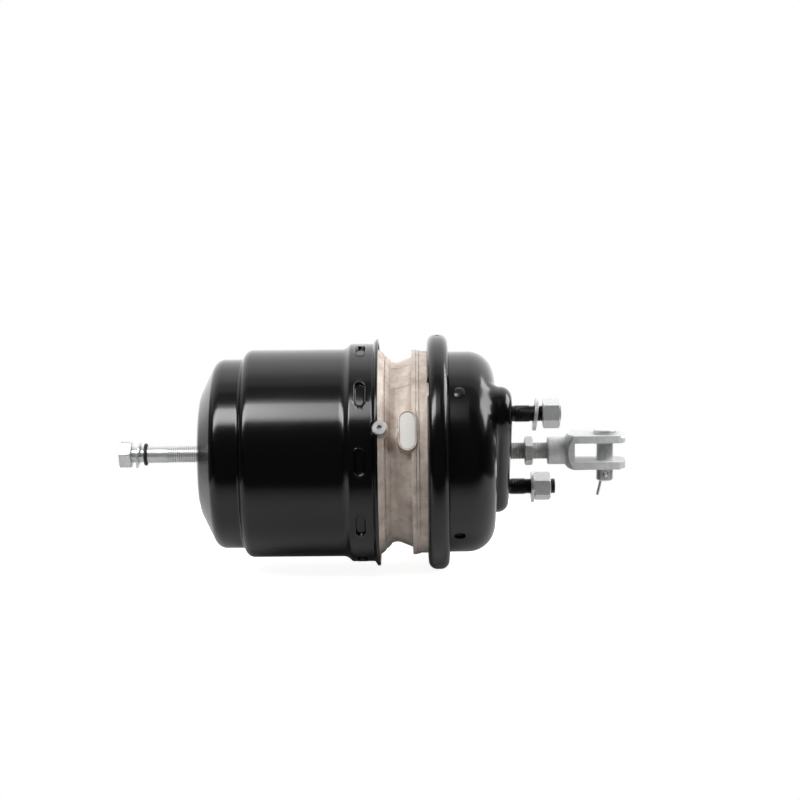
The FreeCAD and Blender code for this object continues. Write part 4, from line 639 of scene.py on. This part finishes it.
# A section of (distance outwards, height) carried round a stadium: u = straight sgn(cos a) +
# (w + d) cos a along the band of the casting, v = (w + d) sin a along X.
def labelFrame():
    f = flange
    inside, outside = f["frameGap"], f["frameGap"] + f["frameWidth"]
    section = roundedOutline([
        (inside, f["frameFoot"]), (outside, f["frameFoot"]),
        (outside, f["frameHeight"], f["frameRound"]), (inside, f["frameHeight"], f["frameRound"]),
    ], arcStep=22.5, hold=0.2)
    steps = 19
    angle = np.radians(np.concatenate([np.linspace(-90, 90, steps), np.linspace(90, 270, steps)]))
    side = np.repeat([1, -1], steps) * (f["labelLength"] - f["labelWidth"]) / 2
    reach = f["labelWidth"] / 2 + section[:, :1]
    u = side + reach * np.cos(angle)
    v = reach * np.sin(angle)
    height = f["labelReach"] + section[:, 1:] + 0 * u
    turn = math.radians(f["labelTurn"])
    y = -height * math.sin(turn) - u * math.cos(turn)
    z = height * math.cos(turn) - u * math.sin(turn)
    return np.stack([f["labelX"] + v, y, z], axis=-1), gridFaces(*u.shape)


# Threads, on rods parallel to X: start, end, crest radius, pitch, depth of cut and place of the rod.
cut = {"rowsPerPitch": 6, "turnStep": 9, "flat": 0.2}
studReach = cup["padHalfLength"] / math.sqrt(2)
threads = {
    "push_rod": [
        {"start": -20.0, "end": 57.8, "radius": 8.0, "pitch": 1.5, "depth": 0.75, "y": 0, "z": 0},
    ],
    "release_bolt": [
        {"start": start, "end": end, "radius": 8.0, "pitch": 2.0, "depth": depth, "y": 0, "z": 0}
        for start, end, depth in ((-323.0, -198.0, 0.45), (-344.0, -322.5, 0.0))
    ],
    "mounting_studs": [
        {
            "start": start, "end": end, "radius": radius, "pitch": 1.5, "depth": 0.7,
            "y": -place, "z": place,
        }
        for place in (studReach, -studReach)
        for start, end, radius in ((2.5, 16.2, 8.0), (15.8, 44.9, 7.4))
    ],
}


# r = crest radius - depth * wave(x / pitch + turn / 360), where the wave is a triangle with its crests
# and roots cut flat; towards both ends the crests fall to the root.
def threadSurface(thread):
    start, end, depth = thread["start"], thread["end"], thread["depth"]
    rows = math.ceil((end - start) * cut["rowsPerPitch"] / thread["pitch"])
    x = np.linspace(start, end, rows)[:, None]
    turns = np.arange(0, 360, cut["turnStep"])
    wave = np.abs((x / thread["pitch"] + turns / 360) % 1 * 2 - 1)
    r = thread["radius"] - depth * np.clip(wave * (1 + 2 * cut["flat"]) - cut["flat"], 0, 1)
    r = np.minimum(r, thread["radius"] - depth + np.minimum(x - start, end - x))
    x = np.concatenate([x[:1], x, x[-1:]])
    r = np.concatenate([0 * r[:1], r, 0 * r[-1:]])
    points = turnedPoints(x, r, turns) + np.array([0, thread["y"], thread["z"]])
    return points, gridFaces(len(x), len(turns), wrapRows=False)


# The lower stud's nut stops at another turn than the solid's: (y, z, reach, degrees).
twists = {"stud_nuts": [(studReach, -studReach, 16.0, 38.5)]}

added = {
    "centre_flange": [
        *[turnedRing(flange[ring]) for ring in ("mouth", "flank", "bead")],
        labelFrame(),
        *[mouldRidge(*ridge) for ridge in flange["ridges"]],
    ],
}
shafts = {}
for node, rods in threads.items():
    added[node] = [threadSurface(rod) for rod in rods]
    shafts[node] = [(rod["y"], rod["z"], rod["radius"], rod["depth"]) for rod in rods]
# By how many millimetres the edges of each copied mesh are rounded.
bevels = {
    "clamp_band": 0.3, "centre_flange": 0.0, "vent_plugs": 0.0, "clevis": 0.4, "clevis_pin": 0.2,
    "cotter_pin": 0.0, "release_washer": 0.2, "release_seal_ring": 0.0, "stud_washers": 0.2,
    "stud_nuts": 0.2, "jam_nut": 0.2, "lock_screw": 0.3, "label_plate": 0.1,
    "mounting_studs": 0.0, "push_rod": 0.0, "release_bolt": 0.0,
}
for node, bevelMm in bevels.items():
    mergedCopy(node, bevelMm, shafts.get(node, ()), added.get(node, ()), twists.get(node, ()))
print("pieces merged and shaded")


# studio

# Depth runs from 0 in front to 1 behind the object. The ranges are parts of a direction, across and up.
# Sizes are in metres, and stops are (place, level).
studio = {
    "floorDrop": 0.0005, "floorSize": (0.9, 0.62), "floorWhite": "#c6c6c6", "floorGlow": 0.9,
    "floorFade": (-0.33, -0.12),
    "depthStops": [
        (0.25, 0.03), (0.3, 0.15), (0.485, 0.15), (0.525, 0.45), (0.6, 0.5), (0.69, 0.9), (0.76, 1.0),
    ],
    "roomLevel": 1.4, "shadedShare": 0.12, "besideRange": (0.6, 0.78), "heightRange": (0.25, 0.55),
    "boxDistance": 1.5, "longTurn": 56.0, "longWidth": 0.68, "longRadiance": 11.5,
    "longSpan": (-2.2, -0.05),
    "longStops": [(0, 0), (0.05, 1), (0.856, 1), (0.89, 0.58), (0.945, 0.55), (0.985, 0)],
    "widthStops": [(0, 0), (0.25, 1), (0.8, 1), (1, 0)],
    "edgeStops": [(0, 0), (0.06, 1), (0.94, 1), (1, 0)],
    "endBox": {"azimuth": 10.0, "elevation": 36.0, "size": (1.25, 0.8), "radiance": 7.5},
    "fillCard": {"azimuth": -34.0, "elevation": 12.0, "size": (0.6, 0.6), "radiance": 8.0},
}


# 1 for the camera's rays and for those through glass, else 0. Mirror rays are left out, because the
# gloss has to show the room's dark front.
def plainRays(tree):
    path = addNode(tree, "ShaderNodeLightPath")
    plain = addNode(
        tree, "ShaderNodeMath", settings={"operation": "MAXIMUM"},
        links={0: path.outputs["Is Camera Ray"], 1: path.outputs["Is Transmission Ray"]},
    )
    return plain.outputs[0]


# White behind the object, dim above it, dark in front and darker low down at both sides, and plain
# white to the camera.
def buildWorld():
    world = bpy.data.worlds.new("studioWorld")
    bpy.context.scene.world = world
    tree = startTree(world)
    direction = addNode(tree, "ShaderNodeTexCoord")
    parts = addNode(tree, "ShaderNodeSeparateXYZ", links={0: direction.outputs["Generated"]})
    depth = addNode(
        tree, "ShaderNodeMapRange", values={"From Min": -1.0, "From Max": 1.0},
        links={"Value": parts.outputs["Y"]},
    )
    levels = addNode(
        tree, "ShaderNodeValToRGB", links={"Fac": depth.outputs[0]},
        stops=greyStops(studio["depthStops"]),
    )
    beside = addNode(
        tree, "ShaderNodeMath", settings={"operation": "ABSOLUTE"}, links={0: parts.outputs["X"]},
    )
    near, far = studio["besideRange"]
    sides = addNode(
        tree, "ShaderNodeMapRange", values={"From Min": near, "From Max": far},
        links={"Value": beside.outputs[0]},
    )
    bottom, top = studio["heightRange"]
    low = addNode(
        tree, "ShaderNodeMapRange",
        values={"From Min": bottom, "From Max": top, "To Min": 1.0, "To Max": 0.0},
        links={"Value": parts.outputs["Z"]},
    )
    shaded = addNode(
        tree, "ShaderNodeMath", settings={"operation": "MULTIPLY"},
        links={0: sides.outputs[0], 1: low.outputs[0]},
    )
    strength = addNode(
        tree, "ShaderNodeMapRange",
        values={"To Min": studio["roomLevel"], "To Max": studio["roomLevel"] * studio["shadedShare"]},
        links={"Value": shaded.outputs[0]},
    )
    room = addNode(
        tree, "ShaderNodeBackground",
        links={"Color": levels.outputs[0], "Strength": strength.outputs[0]},
    )
    white = addNode(tree, "ShaderNodeBackground", values={"Color": (1, 1, 1, 1), "Strength": 1.0})
    mixed = addNode(
        tree, "ShaderNodeMixShader",
        links={0: plainRays(tree), 1: room.outputs[0], 2: white.outputs[0]},
    )
    addNode(tree, "ShaderNodeOutputWorld", links={"Surface": mixed.outputs[0]})


def stagePlane(name, corners, material):
    mesh = bpy.data.meshes.new(name)
    mesh.from_pydata(corners, [], [(0, 1, 2, 3)])
    mesh.uv_layers.new(name="UVMap")
    mesh.uv_layers[0].data.foreach_set("uv", [0, 0, 1, 0, 1, 1, 0, 1])
    mesh.materials.append(material)
    plane = bpy.data.objects.new(name, mesh)
    bpy.context.scene.collection.objects.link(plane)
    return plane


# A pale floor that keeps the object's shadow, raised to white for the camera. It fades to black towards
# its front edge for the light that it sends back.
def buildFloor():
    material = bpy.data.materials.new("paleFloor")
    tree = startTree(material)
    place = addNode(tree, "ShaderNodeTexCoord")
    parts = addNode(tree, "ShaderNodeSeparateXYZ", links={0: place.outputs["Object"]})
    front, back = studio["floorFade"]
    fade = addNode(
        tree, "ShaderNodeMapRange", settings={"interpolation_type": "SMOOTHSTEP"},
        values={"From Min": front, "From Max": back}, links={"Value": parts.outputs["Y"]},
    )
    shade = addNode(
        tree, "ShaderNodeValToRGB", links={"Fac": fade.outputs[0]},
        stops=[(0, (0, 0, 0, 1)), (1, linearFromHex(studio["floorWhite"]))],
    )
    paint = addNode(tree, "ShaderNodeBsdfDiffuse", links={"Color": shade.outputs[0]})
    glowing = addNode(
        tree, "ShaderNodeMapRange", values={"To Min": 1.0, "To Max": studio["floorGlow"]},
        links={"Value": fade.outputs[0]},
    )
    lift = addNode(
        tree, "ShaderNodeMath", settings={"operation": "MULTIPLY"},
        links={0: plainRays(tree), 1: glowing.outputs[0]},
    )
    glow = addNode(
        tree, "ShaderNodeEmission", values={"Color": (1, 1, 1, 1)}, links={"Strength": lift.outputs[0]},
    )
    both = addNode(tree, "ShaderNodeAddShader", links={0: paint.outputs[0], 1: glow.outputs[0]})
    addNode(tree, "ShaderNodeOutputMaterial", links={"Surface": both.outputs[0]})
    middle = (cadLow.x + cadHigh.x) / 2
    halfX, halfY = (size / 2 for size in studio["floorSize"])
    level = cadLow.z - studio["floorDrop"]
    corners = [
        (middle - halfX, -halfY, level), (middle + halfX, -halfY, level),
        (middle + halfX, halfY, level), (middle - halfX, halfY, level),
    ]
    stagePlane("floor", corners, material)


# A soft light hidden from the camera: a rectangle round its centre, whose glow follows one ramp along it
# and another across it.
def softbox(name, centre, along, across, radiance, alongStops, acrossStops):
    material = bpy.data.materials.new(name + "Glow")
    tree = startTree(material)
    place = addNode(tree, "ShaderNodeUVMap", settings={"uv_map": "UVMap"})
    parts = addNode(tree, "ShaderNodeSeparateXYZ", links={0: place.outputs[0]})
    ramps = [
        addNode(tree, "ShaderNodeValToRGB", links={"Fac": parts.outputs[axis]}, stops=greyStops(stops))
        for axis, stops in (("X", alongStops), ("Y", acrossStops))
    ]
    for ramp in ramps:
        ramp.color_ramp.interpolation = "EASE"
    glow = addNode(
        tree, "ShaderNodeMath", settings={"operation": "MULTIPLY"},
        links={0: ramps[0].outputs[0], 1: ramps[1].outputs[0]},
    )
    level = addNode(
        tree, "ShaderNodeMath", settings={"operation": "MULTIPLY"}, values={1: radiance},
        links={0: glow.outputs[0]},
    )
    light = addNode(tree, "ShaderNodeEmission", links={"Strength": level.outputs[0]})
    addNode(tree, "ShaderNodeOutputMaterial", links={"Surface": light.outputs[0]})
    corners = [
        centre - along - across, centre + along - across,
        centre + along + across, centre - along + across,
    ]
    box = stagePlane(name, [list(corner) for corner in corners], material)
    box.visible_camera = False
    return box


# One long box parallel to the axis, in front and above.
def longSoftbox():
    left, right = studio["longSpan"]
    turn = math.radians(studio["longTurn"])
    distance = studio["boxDistance"]
    centre = np.array([(left + right) / 2, -math.cos(turn) * distance, math.sin(turn) * distance])
    along = np.array([(right - left) / 2, 0, 0])
    across = np.array([0, math.sin(turn), math.cos(turn)]) * studio["longWidth"] / 2
    softbox(
        "longSoftbox", centre, along, across, studio["longRadiance"], studio["longStops"],
        studio["widthStops"],
    )


# A box that faces the origin from an azimuth, counted from +X towards +Y, and an elevation.
def placedSoftbox(name, azimuth, elevation, size, radiance):
    turn, rise = math.radians(azimuth), math.radians(elevation)
    outwards = np.array([
        math.cos(turn) * math.cos(rise), math.sin(turn) * math.cos(rise), math.sin(rise),
    ])
    along = np.array([-math.sin(turn), math.cos(turn), 0])
    across = np.cross(outwards, along)
    return softbox(
        name, outwards * studio["boxDistance"], along * size[0] / 2, across * size[1] / 2,
        radiance, studio["edgeStops"], studio["edgeStops"],
    )


buildWorld()
buildFloor()
longSoftbox()
placedSoftbox("endSoftbox", **studio["endBox"])
fillCard = placedSoftbox("fillCard", **studio["fillCard"])
fillCard.visible_glossy = False  # it fills matte surfaces and isn't mirrored
print("studio built")


# camera

view = {
    "distance": 1.95, "elevation": 10.5, "besideX": -0.0816, "lens": 93.0, "sensor": 36.0,
    "yaw": 0.64, "pitch": 9.06, "roll": 0.7,
}


def buildCamera():
    data = bpy.data.cameras.new("camera")
    data.sensor_width = view["sensor"]
    data.lens = view["lens"]
    camera = bpy.data.objects.new("camera", data)
    bpy.context.scene.collection.objects.link(camera)
    rise = math.radians(view["elevation"])
    place = (view["besideX"], -view["distance"] * math.cos(rise), view["distance"] * math.sin(rise))
    camera.matrix_world = (
        Matrix.Translation(place)
        @ Matrix.Rotation(math.radians(view["yaw"]), 4, "Z")
        @ Matrix.Rotation(math.radians(90 - view["pitch"]), 4, "X")
        @ Matrix.Rotation(math.radians(-view["roll"]), 4, "Z")
    )
    bpy.context.scene.camera = camera


buildCamera()
bpy.context.scene.view_settings.view_transform = "Standard"
print("camera placed")
